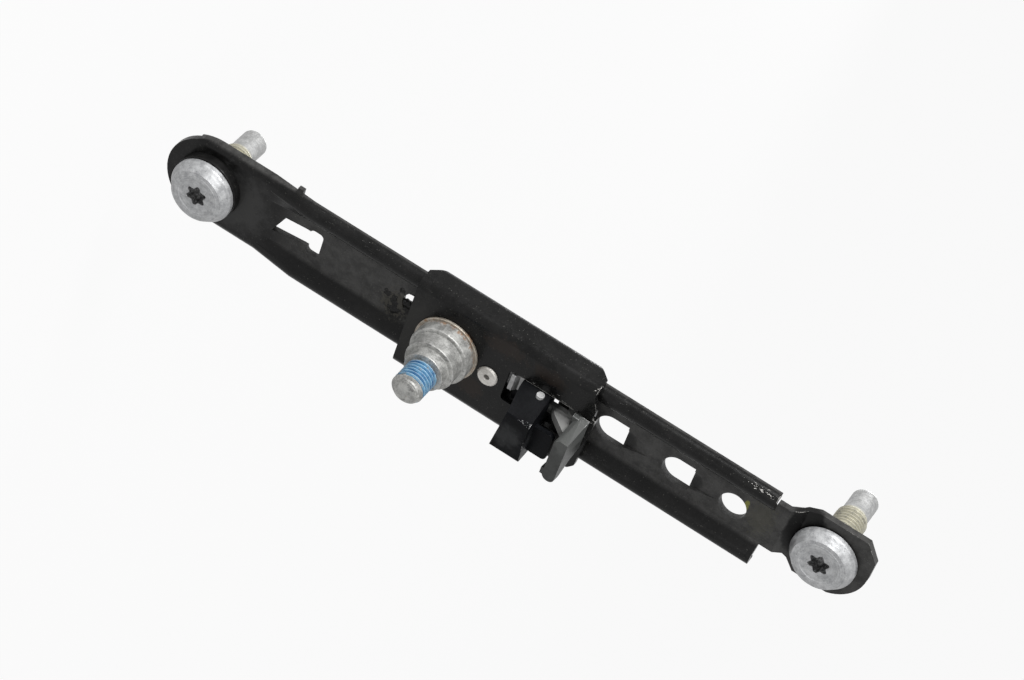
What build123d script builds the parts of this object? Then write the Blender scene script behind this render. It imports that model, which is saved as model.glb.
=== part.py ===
from build123d import *
import math
import os

# Seat belt height adjuster, drawn upright as it hangs on a body pillar.
# +Z is up and -Y points into the cabin. The origin lies on the axis of the
# lower bolt, where the rear face of the lower eye meets the pillar.

# Rail stamping
rail_sheet = 2.0
rail_half = 14.9
bend_inner = 0.7
bolt_pitch = 209.0
eye_lip_depth = 2.9
eye_lip_inset = 7.6
flange_rise = 2.0
lip_depth = 3.7
web_drop = 3.6
flange_width = 4.2
step_width = 3.6
forming_start = 18.5
forming_length = 14.0
flat_step = 0.04
flange_notch_length = 6.2
flange_notch_depth = 1.0
stop_nub_start = 26.4
stop_nub_length = 1.9
stop_nub_proud = 1.8
stop_nub_depth = 1.4
stop_nub_rear = 0.4

# Upper eye and the neck below it
upper_eye_set_back = 3.0
upper_eye_end = 13.7
upper_eye_half = 12.7
upper_eye_round = 13.6
neck_length = 18.0
neck_half = 7.6
neck_left_half = 10.4
neck_bend_length = 4.0
neck_bend_lap = 0.6
neck_widen_lead = 1.5
neck_widen_length = 4.6
upper_corner_x = 5.6
upper_corner_z = 4.2
neck_root = 5.0

# Holes in the rail
bolt_hole_clearance = 0.3
slot_start = 22.6
slot_neck_length = 11.2
slot_head_length = 4.5
slot_neck_left = 3.7
slot_neck_right = 3.0
slot_end_slant = 3.0
slot_head_half = 4.6
slot_corner = 1.4
lock_pitch = 22.3
lock_count = 5
lock_rest_step = 2
lock_hole_clearance = 0.5
lock_hole_rise = 5.1
dimple_length = 8.0
dimple_depth = 1.2
dimple_half = 3.8
dimple_tip_half = 1.5
dimple_tip_depth = 0.1
locating_hole_radius = 4.35
locating_hole_inset = 11.4
lock_top_inset = 18.9

# Mounting bolts and what lies under their heads
bolt_radius = 5.0
bolt_shoulder_radius = 5.3
bolt_shoulder_length = 6.3
bolt_tip_radius = 4.2
bolt_length = 28.2
bolt_tip_length = 9.0
bolt_tip_chamfer = 1.2
head_radius = 10.3
head_rim = 2.0
head_top_radius = 8.1
head_height = 4.8
head_dish_radius = 5.6
head_dish_depth = 0.4
socket_outer = 3.35
socket_inner = 2.35
socket_flute_radius = 1.25
socket_depth = 3.4
socket_lobes = 6
spacer_thickness = 3.1
spacer_proud = 0.3
retainer_thickness = 0.6
retainer_radius = 8.6
washer_clearance = 0.05

# Slider stamping
slider_sheet = 1.8
slider_bend = 1.2
glide_wall = 1.4
glide_side = 0.5
glide_clearance = 0.15
hook_reach = 5.4
slider_below_stud = 14.2
slider_rim = 2.6
left_end_drop = 1.7
left_end_length = 3.5
left_end_run = 4.0
tab_start = -6.5
tab_rise = 0.9
tab_end_inset = 4.2
tab_end_drop = 0.9
tab_corner_inset = 1.6
tab_corner_drop = 2.9
tab_side_drop = 7.2
corner_cut_depth = 5.0
corner_cut_length = 5.2
window_half = 5.9
window_below_plunger = 4.8
window_above_axle = 3.5
window_corner = 1.2
ear_depth = 3.9
ear_half = 2.5
glide_low_inset = 10.7
glide_high_inset = 11.2
glide_reach = 2.7

# Belt stud on the slider
stud_rivet_gap = 0.8
stud_ring_radius = 10.4
stud_ring_thickness = 0.9
stud_base_radius = 9.6
stud_base_length = 4.2
stud_base_edge = 0.7
stud_mid_radius = 8.1
stud_mid_length = 5.0
stud_mid_edge = 0.5
stud_collar_radius = 6.4
stud_collar_length = 3.4
stud_thread_radius = 5.0
stud_thread_run = 0.6
stud_reach = 23.5
stud_tip_chamfer = 1.3
stud_tenon_radius = 5.5
stud_tail_radius = 6.8
stud_tail_thickness = 1.1

# Hollow rivet and the lock spring that it holds
rivet_below_window = 5.6
rivet_offset = 0.8
rivet_radius = 2.3
rivet_bore = 0.9
rivet_head_radius = 3.3
rivet_head_thickness = 0.8
rivet_head_edge = 0.4
rivet_tail_radius = 3.1
rivet_tail_thickness = 0.6
spring_sheet = 0.7
spring_half = 3.0
spring_centre = -2.3
spring_tail = 4.2
spring_crown_rise = 2.1
spring_rise_length = 1.0
spring_crown_length = 1.3
spring_tip_start = 1.1
spring_gap = 0.2

# Lock plunger: the black block, its lock pin and its cross pin
lock_travel = 2.6
lock_gap = 0.35
pin_radius = 4.0
pin_chamfer = 0.5
spigot_radius = 2.2
spigot_length = 9.0
plunger_half_z = 4.7
plunger_clearance = 0.3
plunger_proud = 10.6
plunger_nose_depth = 6.6
plunger_nose_end = 13.6
plunger_crest = -1.4
plunger_root_slope = 1.2
plunger_nose_flare = 0.5
plunger_crest_taper = 1.6
plunger_edge = 0.8
shelf_start = 2.4
shelf_end = 12.3
shelf_rise = 6.4
shelf_thickness = 1.6
shelf_corner = 1.6
ledge_drop = 2.6
ledge_thickness = 1.9
cross_pin_radius = 1.25
cross_pin_rise = 1.8
cross_pin_level = 8.9

# Release lever and its axle
axle_radius = 1.2
axle_level = 3.9
axle_above_plunger = 7.4
axle_head_radius = 1.6
axle_head_thickness = 0.6
axle_clip_thickness = 0.6
axle_end = 0.3
axle_running = 0.05
barrel_radius = 2.3
lever_clearance = 0.25
lever_root_half = 5.3
lever_root_low = 0.7
lever_root_high = 3.2
lever_root_depth = 1.6
arm_rise = 0.4
arm_thickness = 4.2
arm_lean = 4.4
arm_proud = 10.5
arm_left = -5.7
arm_crest = -2.9
arm_end = 13.6
arm_end_depth = 0.6
arm_end_flat = 0.1
arm_back_x = 7.4
arm_back_depth = 6.4
arm_root_right = 5.4
arm_chamfer = 1.5
arm_hook_inset = 1.3
arm_hook_length = 2.4
arm_hook_drop = 0.8
arm_hook_depth = 2.2
tongue_level = 5.3
tongue_half = 1.6
tongue_thickness = 1.8
tongue_reach = 1.6
tongue_shoulder_rise = 0.8
tongue_play = 0.4
gusset_left = -1.5
gusset_right = 1.1
gusset_low_depth = 0.9
gusset_rise = 2.7
gusset_high_depth = 6.2

# How far a cutter reaches past what it cuts
cut_margin = 1.0

# Depths that follow from the sizes above
eye_rear = 0.0
eye_front = eye_rear - rail_sheet
flange_front = eye_front - flange_rise
web_front = flange_front + web_drop
web_rear = web_front + rail_sheet
lip_rear = flange_front + lip_depth
upper_eye_front = web_front + upper_eye_set_back
upper_eye_rear = upper_eye_front + rail_sheet
slider_inner = flange_front - glide_wall - 2 * glide_clearance
slider_front = slider_inner - slider_sheet
hook_front = lip_rear + glide_wall + 2 * glide_clearance
slider_rear = hook_front + slider_sheet
lower_seat = eye_front - spacer_thickness
upper_seat = upper_eye_front - retainer_thickness
plunger_rear = web_front - lock_gap - lock_travel
plunger_nose = slider_front - plunger_proud
ledge_front = plunger_rear - ledge_thickness
axle_depth = -axle_level

# Heights of the rail's features, from the upper bolt down to the lock holes
forming_end = forming_start + forming_length
slot_neck_end = slot_start + slot_neck_length
slot_head_end = slot_neck_end + slot_head_length
channel_end = bolt_pitch - neck_length
flange_notch_start = channel_end - flange_notch_length
neck_bend_end = bolt_pitch - head_radius + neck_bend_lap
neck_bend_start = neck_bend_end - neck_bend_length
neck_widen_start = neck_bend_end - neck_widen_lead
neck_widen_end = neck_widen_start + neck_widen_length
locating_hole_height = channel_end - locating_hole_inset
lock_bottom = locating_hole_height - lock_top_inset - (lock_count - 1) * lock_pitch
lock_height = lock_bottom + lock_rest_step * lock_pitch

# Heights on the slider, from the lock hole that it stands at
plunger_bottom = lock_height - plunger_half_z
plunger_top = lock_height + plunger_half_z
shelf_top = plunger_top + shelf_rise
axle_height = plunger_top + axle_above_plunger
lever_root_bottom = axle_height + lever_root_low
lever_root_top = axle_height + lever_root_high
arm_height = lever_root_top + arm_rise
tongue_tip = plunger_top - tongue_reach
tongue_shoulder = plunger_top + tongue_shoulder_rise
gusset_low = plunger_top + gusset_rise
window_bottom = plunger_bottom - window_below_plunger
window_top = axle_height + window_above_axle
slider_top = window_top + slider_rim
rivet_height = window_bottom - rivet_below_window
stud_height = rivet_height - rivet_head_radius - stud_rivet_gap - stud_ring_radius
slider_bottom = stud_height - slider_below_stud
tab_top = slider_top + tab_rise
left_top = slider_top - left_end_drop
glide_bottom = slider_bottom + glide_low_inset
glide_top = slider_top - glide_high_inset

# Widths that follow
lip_start = eye_lip_inset - rail_half
flange_inner = rail_half - flange_width
web_half = flange_inner - step_width
spacer_radius = head_radius + spacer_proud
slider_side = rail_half + glide_side + 2 * glide_clearance
slider_half = slider_side + slider_sheet
glide_inner = rail_half - glide_reach
lock_hole_radius = pin_radius + lock_hole_clearance
bolt_hole_radius = bolt_shoulder_radius + bolt_hole_clearance
ear_outer = window_half + slider_sheet


def box_between(x0, x1, y0, y1, z0, z1):
    """A block between two corners."""
    centre = Pos((x0 + x1) / 2, (y0 + y1) / 2, (z0 + z1) / 2)
    return centre * Box(x1 - x0, y1 - y0, z1 - z0)


def rod_along_y(radius, x, z, y0, y1):
    """A round bar between two depths."""
    return Pos(x, (y0 + y1) / 2, z) * Rot(90, 0, 0) * Cylinder(radius, y1 - y0)


def rod_along_x(radius, y, z, x0, x1):
    """A round bar across the rail."""
    return Pos((x0 + x1) / 2, y, z) * Rot(0, 90, 0) * Cylinder(radius, x1 - x0)


def drill_along_y(radius, x, z, y0, y1):
    """The cutter of a hole through what lies between two depths."""
    return rod_along_y(radius, x, z, y0 - cut_margin, y1 + cut_margin)


def drill_along_x(radius, y, z, x0, x1):
    """The cutter of a hole through what lies between two sides."""
    return rod_along_x(radius, y, z, x0 - cut_margin, x1 + cut_margin)


def plate_along_y(outline, y0, y1):
    """A plate whose (x, z) outline runs between two depths."""
    face = make_face(Polyline([(x, y0, z) for x, z in outline], close=True))
    return extrude(face, amount=y1 - y0, dir=(0, 1, 0))


def plate_along_x(outline, x0, x1):
    """A plate whose (y, z) outline runs between two widths."""
    face = make_face(Polyline([(x0, y, z) for y, z in outline], close=True))
    return extrude(face, amount=x1 - x0, dir=(1, 0, 0))


def bar_along_z(outline, z0, z1):
    """A bar whose (x, y) outline runs between two heights."""
    face = make_face(Polyline([(x, y, z0) for x, y in outline], close=True))
    return extrude(face, amount=z1 - z0, dir=(0, 0, 1))


def turned_along_y(profile, x, z):
    """A turned piece from (radius, y) points, on an axis along Y."""
    face = make_face(Polyline([(r, y, 0) for r, y in profile], close=True))
    return Pos(x, 0, z) * revolve(face, Axis.Y, 360)


def offset_line(line, distance):
    """The same open line moved sideways, with mitred corners."""
    normals = []
    for (x0, y0), (x1, y1) in zip(line, line[1:]):
        length = math.hypot(x1 - x0, y1 - y0)
        normals.append(((y0 - y1) / length, (x1 - x0) / length))
    moved = []
    for index, (x, y) in enumerate(line):
        before = normals[max(index - 1, 0)]
        after = normals[min(index, len(normals) - 1)]
        mitre = 1 + before[0] * after[0] + before[1] * after[1]
        moved.append((
            x + distance * (before[0] + after[0]) / mitre,
            y + distance * (before[1] + after[1]) / mitre,
        ))
    return moved


def bent_sheet(line, sheet, inner, z):
    """The face of a bent sheet whose outer side follows a line at a height."""
    other = offset_line(line, sheet)
    corners = line + other[::-1]
    face = make_face(Polyline([(x, y, z) for x, y in corners], close=True)).face()
    count = len(line)
    for index in range(1, count - 1):
        (x0, y0), (x1, y1), (x2, y2) = line[index - 1], line[index], line[index + 1]
        turn = (x1 - x0) * (y2 - y1) - (y1 - y0) * (x2 - x1)
        outside = inner + sheet if turn > 0 else inner
        inside = inner if turn > 0 else inner + sheet
        for point, radius in ((line[index], outside), (other[index], inside)):
            corner = face.vertices().sort_by_distance(Vector(point[0], point[1], z))[0]
            face = face.fillet_2d(radius, [corner])
    return face


def rail_line(front, drop, depth):
    """The front side of the rail's section, from the left lip to the right."""
    right = [
        (web_half, front + drop),
        (flange_inner, front),
        (rail_half, front),
        (rail_half, front + depth),
    ]
    return [(-x, y) for x, y in right[::-1]] + right


def rail_face(front, drop, depth, z):
    """The rail's section at a height."""
    return bent_sheet(rail_line(front, drop, depth), rail_sheet, bend_inner, z)


def make_rail():
    """The stamped rail: lower eye, channel with its holes, neck and upper eye."""
    eye_lips = rail_face(eye_front, flat_step, eye_lip_depth, lip_start)
    eye_strip = extrude(eye_lips, amount=forming_start - lip_start, dir=(0, 0, 1))
    forming = loft(
        [
            rail_face(eye_front, flat_step, eye_lip_depth, forming_start),
            rail_face(flange_front, web_drop, lip_depth, forming_end),
        ],
        ruled=True,
    )
    channel_face = rail_face(flange_front, web_drop, lip_depth, forming_end)
    channel = extrude(channel_face, amount=channel_end - forming_end, dir=(0, 0, 1))
    eye_disc = rod_along_y(rail_half, 0, 0, eye_front, eye_rear)
    rounded_end = rod_along_y(rail_half, 0, 0, -rail_half, rail_half)
    lower_half = box_between(-rail_half, rail_half, -rail_half, rail_half, -rail_half, 0)
    below_lips = box_between(-rail_half, rail_half, eye_front, eye_rear, -rail_half, lip_start)
    eye_strip = eye_strip - (lower_half - rounded_end)
    eye_disc = eye_disc & below_lips
    rail = eye_disc + eye_strip + forming + channel + make_neck()
    for step in range(lock_count):
        rail = add_lock_hole(rail, lock_bottom + step * lock_pitch)
    rail -= drill_along_y(locating_hole_radius, 0, locating_hole_height, web_front, web_rear)
    rail -= drill_along_y(bolt_hole_radius, 0, 0, eye_front, eye_rear)
    rail -= drill_along_y(bolt_hole_radius, 0, bolt_pitch, upper_eye_front, upper_eye_rear)
    rail -= make_slot()
    notch = box_between(
        rail_half - flange_notch_depth, rail_half + cut_margin,
        flange_front - cut_margin, lip_rear + cut_margin,
        flange_notch_start, channel_end + cut_margin,
    )
    nub = box_between(
        -rail_half - stop_nub_proud, -rail_half + rail_sheet / 2,
        stop_nub_rear - stop_nub_depth, stop_nub_rear,
        stop_nub_start, stop_nub_start + stop_nub_length,
    )
    return rail - notch + nub


def make_neck():
    """The web above the channel, set back to the upper eye."""
    top = bolt_pitch + upper_eye_end
    line = [
        (web_front, channel_end - neck_root),
        (web_front, neck_bend_start),
        (upper_eye_front, neck_bend_end),
        (upper_eye_front, top),
    ]
    corners = line + offset_line(line, -rail_sheet)[::-1]
    strip = plate_along_x(corners, -upper_eye_half, upper_eye_half)
    outline = [
        (neck_half, channel_end - neck_root),
        (neck_half, neck_widen_start),
        (upper_eye_half, neck_widen_end),
        (upper_eye_half, top),
        (-upper_eye_half + upper_corner_x, top),
        (-upper_eye_half, top - upper_corner_z),
        (-upper_eye_half, neck_widen_end),
        (-neck_left_half, neck_widen_start),
        (-neck_left_half, channel_end),
        (-neck_half, channel_end),
        (-neck_half, channel_end - neck_root),
    ]
    front, rear = web_front - cut_margin, upper_eye_rear + cut_margin
    blank = plate_along_y(outline, front, rear)
    corner = box_between(0, upper_eye_half, front, rear, bolt_pitch, top)
    corner -= rod_along_y(upper_eye_round, 0, bolt_pitch, front, rear)
    return (strip & blank) - corner


def add_lock_hole(rail, height):
    """A lock hole with a squared top and the dimple that lets the pin ride out."""
    top = height + lock_hole_rise
    end = top + dimple_length
    sunk = []
    for shift in (0, rail_sheet):
        lower = Polyline(
            [
                (-dimple_half, web_front + shift, top - cut_margin),
                (dimple_half, web_front + shift, top - cut_margin),
                (dimple_half, web_front + dimple_depth + shift, top - cut_margin),
                (-dimple_half, web_front + dimple_depth + shift, top - cut_margin),
            ],
            close=True,
        )
        upper = Polyline(
            [
                (-dimple_tip_half, web_front + shift, end),
                (dimple_tip_half, web_front + shift, end),
                (dimple_tip_half, web_front + dimple_tip_depth + shift, end),
                (-dimple_tip_half, web_front + dimple_tip_depth + shift, end),
            ],
            close=True,
        )
        sunk.append(loft([make_face(lower), make_face(upper)], ruled=True))
    rail = rail + sunk[1] - sunk[0]
    front, rear = web_front - rail_sheet, web_rear + 2 * rail_sheet
    rail -= rod_along_y(lock_hole_radius, 0, height, front, rear)
    return rail - box_between(-lock_hole_radius, lock_hole_radius, front, rear, height, top)


def make_slot():
    """The keyed slot below the travel, as the cutter that makes it."""
    front, rear = flange_front - cut_margin, web_rear + cut_margin
    overlap = slot_neck_end + cut_margin
    outline = [
        (-slot_neck_left, slot_start + slot_end_slant),
        (slot_neck_right, slot_start),
        (slot_neck_right, overlap),
        (-slot_neck_left, overlap),
    ]
    neck = plate_along_y(outline, front, rear)
    head = box_between(-slot_head_half, slot_head_half, front, rear, slot_neck_end, slot_head_end)
    head = fillet(head.edges().filter_by(Axis.Y), slot_corner)
    return neck + head


def make_socket(mouth):
    """The cutter of a six-lobed socket that opens at a depth."""
    front, rear = mouth - cut_margin, mouth + socket_depth
    socket = rod_along_y(socket_outer, 0, 0, front, rear)
    for lobe in range(socket_lobes):
        angle = 2 * math.pi * (lobe + 0.5) / socket_lobes
        reach = socket_inner + socket_flute_radius
        x, z = reach * math.cos(angle), reach * math.sin(angle)
        socket -= rod_along_y(socket_flute_radius, x, z, front - cut_margin, rear + cut_margin)
    return socket


def make_bolt(seat, height):
    """A shouldered bolt with a six-lobed socket, its head seated at a depth."""
    mouth = seat - head_height
    shoulder_end = seat + bolt_shoulder_length
    tip = seat + bolt_length
    shank_end = tip - bolt_tip_length
    profile = [
        (0, mouth + head_dish_depth),
        (head_dish_radius, mouth + head_dish_depth),
        (head_dish_radius + head_dish_depth, mouth),
        (head_top_radius, mouth),
        (head_radius, seat - head_rim),
        (head_radius, seat),
        (bolt_shoulder_radius, seat),
        (bolt_shoulder_radius, shoulder_end),
        (bolt_radius, shoulder_end),
        (bolt_radius, shank_end),
        (bolt_tip_radius, shank_end + bolt_radius - bolt_tip_radius),
        (bolt_tip_radius, tip - bolt_tip_chamfer),
        (bolt_tip_radius - bolt_tip_chamfer, tip),
        (0, tip),
    ]
    bolt = turned_along_y(profile, 0, height)
    return bolt - Pos(0, 0, height) * make_socket(mouth)


def make_washer(outer, seat, thickness, height):
    """A ring under a bolt head, with its front at the head."""
    ring = rod_along_y(outer, 0, height, seat, seat + thickness)
    bore = bolt_shoulder_radius + washer_clearance
    return ring - drill_along_y(bore, 0, height, seat, seat + thickness)


def slider_line(half, front, rear, reach):
    """The outer side of a C section, from one hook's end to the other."""
    right = [(half, front), (half, rear), (half - reach, rear)]
    return [(-x, y) for x, y in right[::-1]] + right


def make_slider():
    """The C-shaped slider plate with its lever window and axle ears."""
    line = slider_line(slider_half, slider_front, slider_rear, hook_reach)
    face = bent_sheet(line, slider_sheet, slider_bend, slider_bottom)
    slider = extrude(face, amount=tab_top - slider_bottom, dir=(0, 0, 1))
    slider &= slider_blank()
    slider -= corner_cuts(slider_bottom, left_top)
    window = box_between(
        -window_half, window_half,
        slider_front - cut_margin, slider_inner + cut_margin,
        window_bottom, window_top,
    )
    slider -= fillet(window.edges().filter_by(Axis.Y), window_corner)
    for side in (-1, 1):
        inner = side * window_half
        outer = side * ear_outer
        ear = box_between(
            min(inner, outer), max(inner, outer),
            slider_inner - slider_sheet / 2, slider_inner + ear_depth,
            axle_height - ear_half, axle_height + ear_half,
        )
        slider += ear
    slider -= rod_along_x(axle_radius, axle_depth, axle_height, -slider_side, slider_side)
    slider -= drill_along_y(stud_tenon_radius, 0, stud_height, slider_front, slider_inner)
    slider -= drill_along_y(rivet_radius, rivet_offset, rivet_height, slider_front, slider_inner)
    return slider


def slider_blank():
    """The slider's outline from the front, with the tab at its upper end."""
    outline = [
        (-slider_half, slider_bottom),
        (slider_half, slider_bottom),
        (slider_half, tab_top - tab_side_drop),
        (slider_half - tab_corner_inset, tab_top - tab_corner_drop),
        (slider_half - tab_end_inset, tab_top - tab_end_drop),
        (tab_start, tab_top),
        (tab_start, slider_top),
        (-slider_half + left_end_length + left_end_run, slider_top),
        (-slider_half + left_end_length, left_top),
        (-slider_half, left_top),
    ]
    return plate_along_y(outline, slider_front - cut_margin, slider_rear + cut_margin)


def corner_cuts(bottom, top):
    """The wedges that relieve the rear corners of the slider at both ends."""
    rear = slider_rear + cut_margin
    deep = slider_rear - corner_cut_depth
    cuts = []
    over = tab_top - left_top + cut_margin
    for end, inward in ((bottom, 1), (top, -1)):
        outline = [
            (deep, end - inward * over),
            (deep, end),
            (slider_rear, end + inward * corner_cut_length),
            (rear, end + inward * corner_cut_length),
            (rear, end - inward * over),
        ]
        cuts.append(plate_along_x(outline, -slider_half - cut_margin, slider_half + cut_margin))
    return cuts[0] + cuts[1]


def make_glide(side):
    """A plastic glide that lines one side of the slider around the rail's lip."""
    outer_x = slider_side - glide_clearance
    inner_x = rail_half + glide_clearance
    front, front_in = slider_inner + glide_clearance, flange_front - glide_clearance
    rear_in, rear = lip_rear + glide_clearance, hook_front - glide_clearance
    outline = [
        (glide_inner, front),
        (outer_x, front),
        (outer_x, rear),
        (glide_inner + bend_inner, rear),
        (glide_inner + bend_inner, rear_in),
        (inner_x, rear_in),
        (inner_x, front_in),
        (glide_inner, front_in),
    ]
    outline = [(side * x, y) for x, y in outline]
    glide = bar_along_z(outline, glide_bottom, glide_top)
    outer_edges = glide.edges().filter_by(Axis.Z).group_by(Axis.X)[-1 if side > 0 else 0]
    return fillet(outer_edges, slider_bend)


def make_stud():
    """The stepped belt stud, riveted through the slider plate."""
    base = slider_front - stud_ring_thickness
    mid = base - stud_base_length
    collar = mid - stud_mid_length
    thread = collar - stud_collar_length
    tip = slider_front - stud_reach
    tail = slider_inner + stud_tail_thickness
    profile = [
        (0, tip),
        (stud_thread_radius - stud_tip_chamfer, tip),
        (stud_thread_radius, tip + stud_tip_chamfer),
        (stud_thread_radius, thread),
        (stud_collar_radius, thread + stud_thread_run),
        (stud_collar_radius, collar),
        (stud_mid_radius - stud_mid_edge, collar),
        (stud_mid_radius, collar + stud_mid_edge),
        (stud_mid_radius, mid),
        (stud_base_radius - stud_base_edge, mid),
        (stud_base_radius, mid + stud_base_edge),
        (stud_base_radius, base),
        (stud_tenon_radius, base),
        (stud_tenon_radius, slider_inner),
        (stud_tail_radius, slider_inner),
        (stud_tail_radius, tail),
        (0, tail),
    ]
    return turned_along_y(profile, 0, stud_height)


def make_stud_ring():
    """The thin ring between the stud's shoulder and the slider plate."""
    front = slider_front - stud_ring_thickness
    ring = rod_along_y(stud_ring_radius, 0, stud_height, front, slider_front)
    return ring - drill_along_y(stud_tenon_radius, 0, stud_height, front, slider_front)


def make_rivet():
    """The hollow rivet that holds the lock spring against the slider plate."""
    head = slider_front - rivet_head_thickness
    under = slider_inner + spring_sheet
    tail = under + rivet_tail_thickness
    profile = [
        (rivet_bore, head),
        (rivet_head_radius - rivet_head_edge, head),
        (rivet_head_radius, head + rivet_head_edge),
        (rivet_head_radius, slider_front),
        (rivet_radius, slider_front),
        (rivet_radius, under),
        (rivet_tail_radius, under),
        (rivet_tail_radius, tail),
        (rivet_bore, tail),
    ]
    return turned_along_y(profile, rivet_offset, rivet_height)


def make_spring():
    """The leaf spring: riveted flat, arched through the window, on the plunger's ledge."""
    flat = slider_inner
    crown = slider_inner - spring_crown_rise
    tip = ledge_front - spring_sheet - spring_gap
    foot = plunger_bottom - ledge_drop
    line = [
        (flat, rivet_height - spring_tail),
        (flat, window_bottom + spring_gap),
        (crown, window_bottom + spring_rise_length),
        (crown, window_bottom + spring_rise_length + spring_crown_length),
        (tip, foot + spring_tip_start),
        (tip, plunger_bottom - spring_gap),
    ]
    outline = line + offset_line(line, -spring_sheet)[::-1]
    left, right = spring_centre - spring_half, spring_centre + spring_half
    spring = plate_along_x(outline, left, right)
    tab = box_between(
        left, rivet_offset + rivet_tail_radius, flat, flat + spring_sheet,
        rivet_height - spring_tail, rivet_height + rivet_tail_radius,
    )
    return spring + tab - drill_along_y(
        rivet_radius, rivet_offset, rivet_height, flat, flat + spring_sheet
    )


def make_plunger():
    """The plunger head: a black block whose thumb nose reaches to one side."""
    left = -window_half + plunger_clearance
    right = window_half - plunger_clearance
    under = plunger_nose + plunger_nose_depth
    outline = [
        (left, plunger_rear),
        (left, slider_front),
        (plunger_crest, plunger_nose),
        (plunger_nose_end, plunger_nose),
        (plunger_nose_end, under),
        (right, under + plunger_root_slope),
        (right, plunger_rear),
    ]
    low, high = plunger_bottom, plunger_top + plunger_nose_flare
    head = bar_along_z(outline, low, high)
    side_view = [
        (left, low),
        (left + plunger_edge, low),
        (plunger_crest, low + plunger_crest_taper),
        (plunger_nose_end, low),
        (plunger_nose_end, high),
        (right, plunger_top),
        (left, plunger_top),
    ]
    body = plate_along_y(side_view, plunger_nose, slider_front)
    body += box_between(left, right, slider_front, plunger_rear, low, plunger_top)
    head &= body
    nose_edges = head.edges().filter_by(Axis.Z).group_by(Axis.Y)[0]
    head = fillet(nose_edges, plunger_edge)
    shelf = box_between(
        shelf_start, shelf_end, under - shelf_thickness, under,
        plunger_top - shelf_thickness, shelf_top,
    )
    shelf = fillet(shelf.edges().filter_by(Axis.Y).group_by(Axis.Z)[-1], shelf_corner)
    head += shelf
    head += box_between(
        left, right, ledge_front, plunger_rear, plunger_bottom - ledge_drop, plunger_bottom
    )
    head -= rod_along_y(
        spigot_radius, 0, lock_height, plunger_rear - spigot_length, plunger_rear + cut_margin
    )
    head -= rod_along_x(
        cross_pin_radius, -cross_pin_level, lock_height + cross_pin_rise, -slider_half, slider_half
    )
    return head - box_between(
        -tongue_half - tongue_play, tongue_half + tongue_play,
        -tongue_level - tongue_thickness / 2 - tongue_play,
        -tongue_level + tongue_thickness / 2 + tongue_play,
        tongue_tip - tongue_play, plunger_top + cut_margin,
    )


def make_lock_pin():
    """The lock pin with the spigot that carries it in the plunger head."""
    tip = web_front - lock_gap
    profile = [
        (0, plunger_rear - spigot_length),
        (spigot_radius, plunger_rear - spigot_length),
        (spigot_radius, plunger_rear),
        (pin_radius, plunger_rear),
        (pin_radius, tip - pin_chamfer),
        (pin_radius - pin_chamfer, tip),
        (0, tip),
    ]
    pin = turned_along_y(profile, 0, lock_height)
    return pin - rod_along_x(
        cross_pin_radius, -cross_pin_level, lock_height + cross_pin_rise, -slider_half, slider_half
    )


def make_cross_pin():
    """The small pin that locks the plunger head to the lock pin."""
    end = window_half - plunger_clearance
    return rod_along_x(
        cross_pin_radius, -cross_pin_level, lock_height + cross_pin_rise, -end, end
    )


def make_lever():
    """The release lever: a barrel on the axle, an arm for the finger and a tongue."""
    left = -window_half + lever_clearance
    right = window_half - lever_clearance
    heel = -lever_clearance
    outline = [
        (arm_left, heel),
        (arm_crest, -arm_proud),
        (arm_end, -arm_proud),
        (arm_end, -arm_proud + arm_end_depth),
        (arm_back_x, -arm_proud + arm_back_depth),
        (arm_root_right, heel),
    ]
    arm = bar_along_z(outline, -arm_thickness / 2, arm_thickness / 2)
    blank = box_between(
        arm_left, arm_end, -arm_proud - cut_margin, cut_margin, -arm_thickness / 2, arm_thickness / 2
    )
    end_edges = blank.edges().filter_by(Axis.Y).group_by(Axis.X)[-1]
    arm &= fillet(end_edges, arm_thickness / 2 - arm_end_flat)
    slanted = arm.edges().group_by(Axis.Z)[0].sort_by(Axis.X)[0]
    arm = chamfer(slanted, arm_chamfer)
    hook_end = arm_end - arm_hook_inset
    hook = bar_along_z(
        [
            (hook_end, -arm_proud),
            (hook_end - arm_hook_length, -arm_proud),
            (hook_end - arm_hook_length, -arm_proud + arm_hook_depth),
            (hook_end - arm_hook_depth, -arm_proud + arm_hook_depth),
        ],
        -arm_thickness / 2 - arm_hook_drop, 0,
    )
    arm = Pos(0, slider_front, arm_height) * Rot(arm_lean, 0, 0) * (arm + hook)
    arm -= box_between(
        arm_left - cut_margin, arm_end, slider_front - lever_clearance, slider_inner,
        lever_root_top, slider_top + arm_thickness,
    )
    root = box_between(
        -lever_root_half, lever_root_half, slider_front - lever_root_depth, axle_depth,
        lever_root_bottom, lever_root_top,
    )
    barrel = rod_along_x(barrel_radius, axle_depth, axle_height, left, right)
    tongue = box_between(
        -tongue_half, tongue_half,
        -tongue_level - tongue_thickness / 2, -tongue_level + tongue_thickness / 2,
        tongue_tip, axle_height,
    )
    gusset = plate_along_x(
        [
            (axle_depth, axle_height),
            (-tongue_level, tongue_shoulder),
            (-tongue_level - tongue_thickness / 2, tongue_shoulder),
            (slider_front - gusset_low_depth, gusset_low),
            (slider_front - gusset_high_depth, arm_height - arm_thickness / 2),
            (slider_front - gusset_high_depth, arm_height),
            (axle_depth, lever_root_top),
        ],
        gusset_left, gusset_right,
    )
    lever = arm + root + barrel + tongue + gusset
    return lever - drill_along_x(axle_radius + axle_running, axle_depth, axle_height, left, right)


def make_axle():
    """The lever's axle with a head at one end."""
    end = ear_outer + axle_clip_thickness + axle_end
    axle = rod_along_x(axle_radius, axle_depth, axle_height, -ear_outer, end)
    return axle + rod_along_x(
        axle_head_radius, axle_depth, axle_height, -ear_outer - axle_head_thickness, -ear_outer
    )


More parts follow.
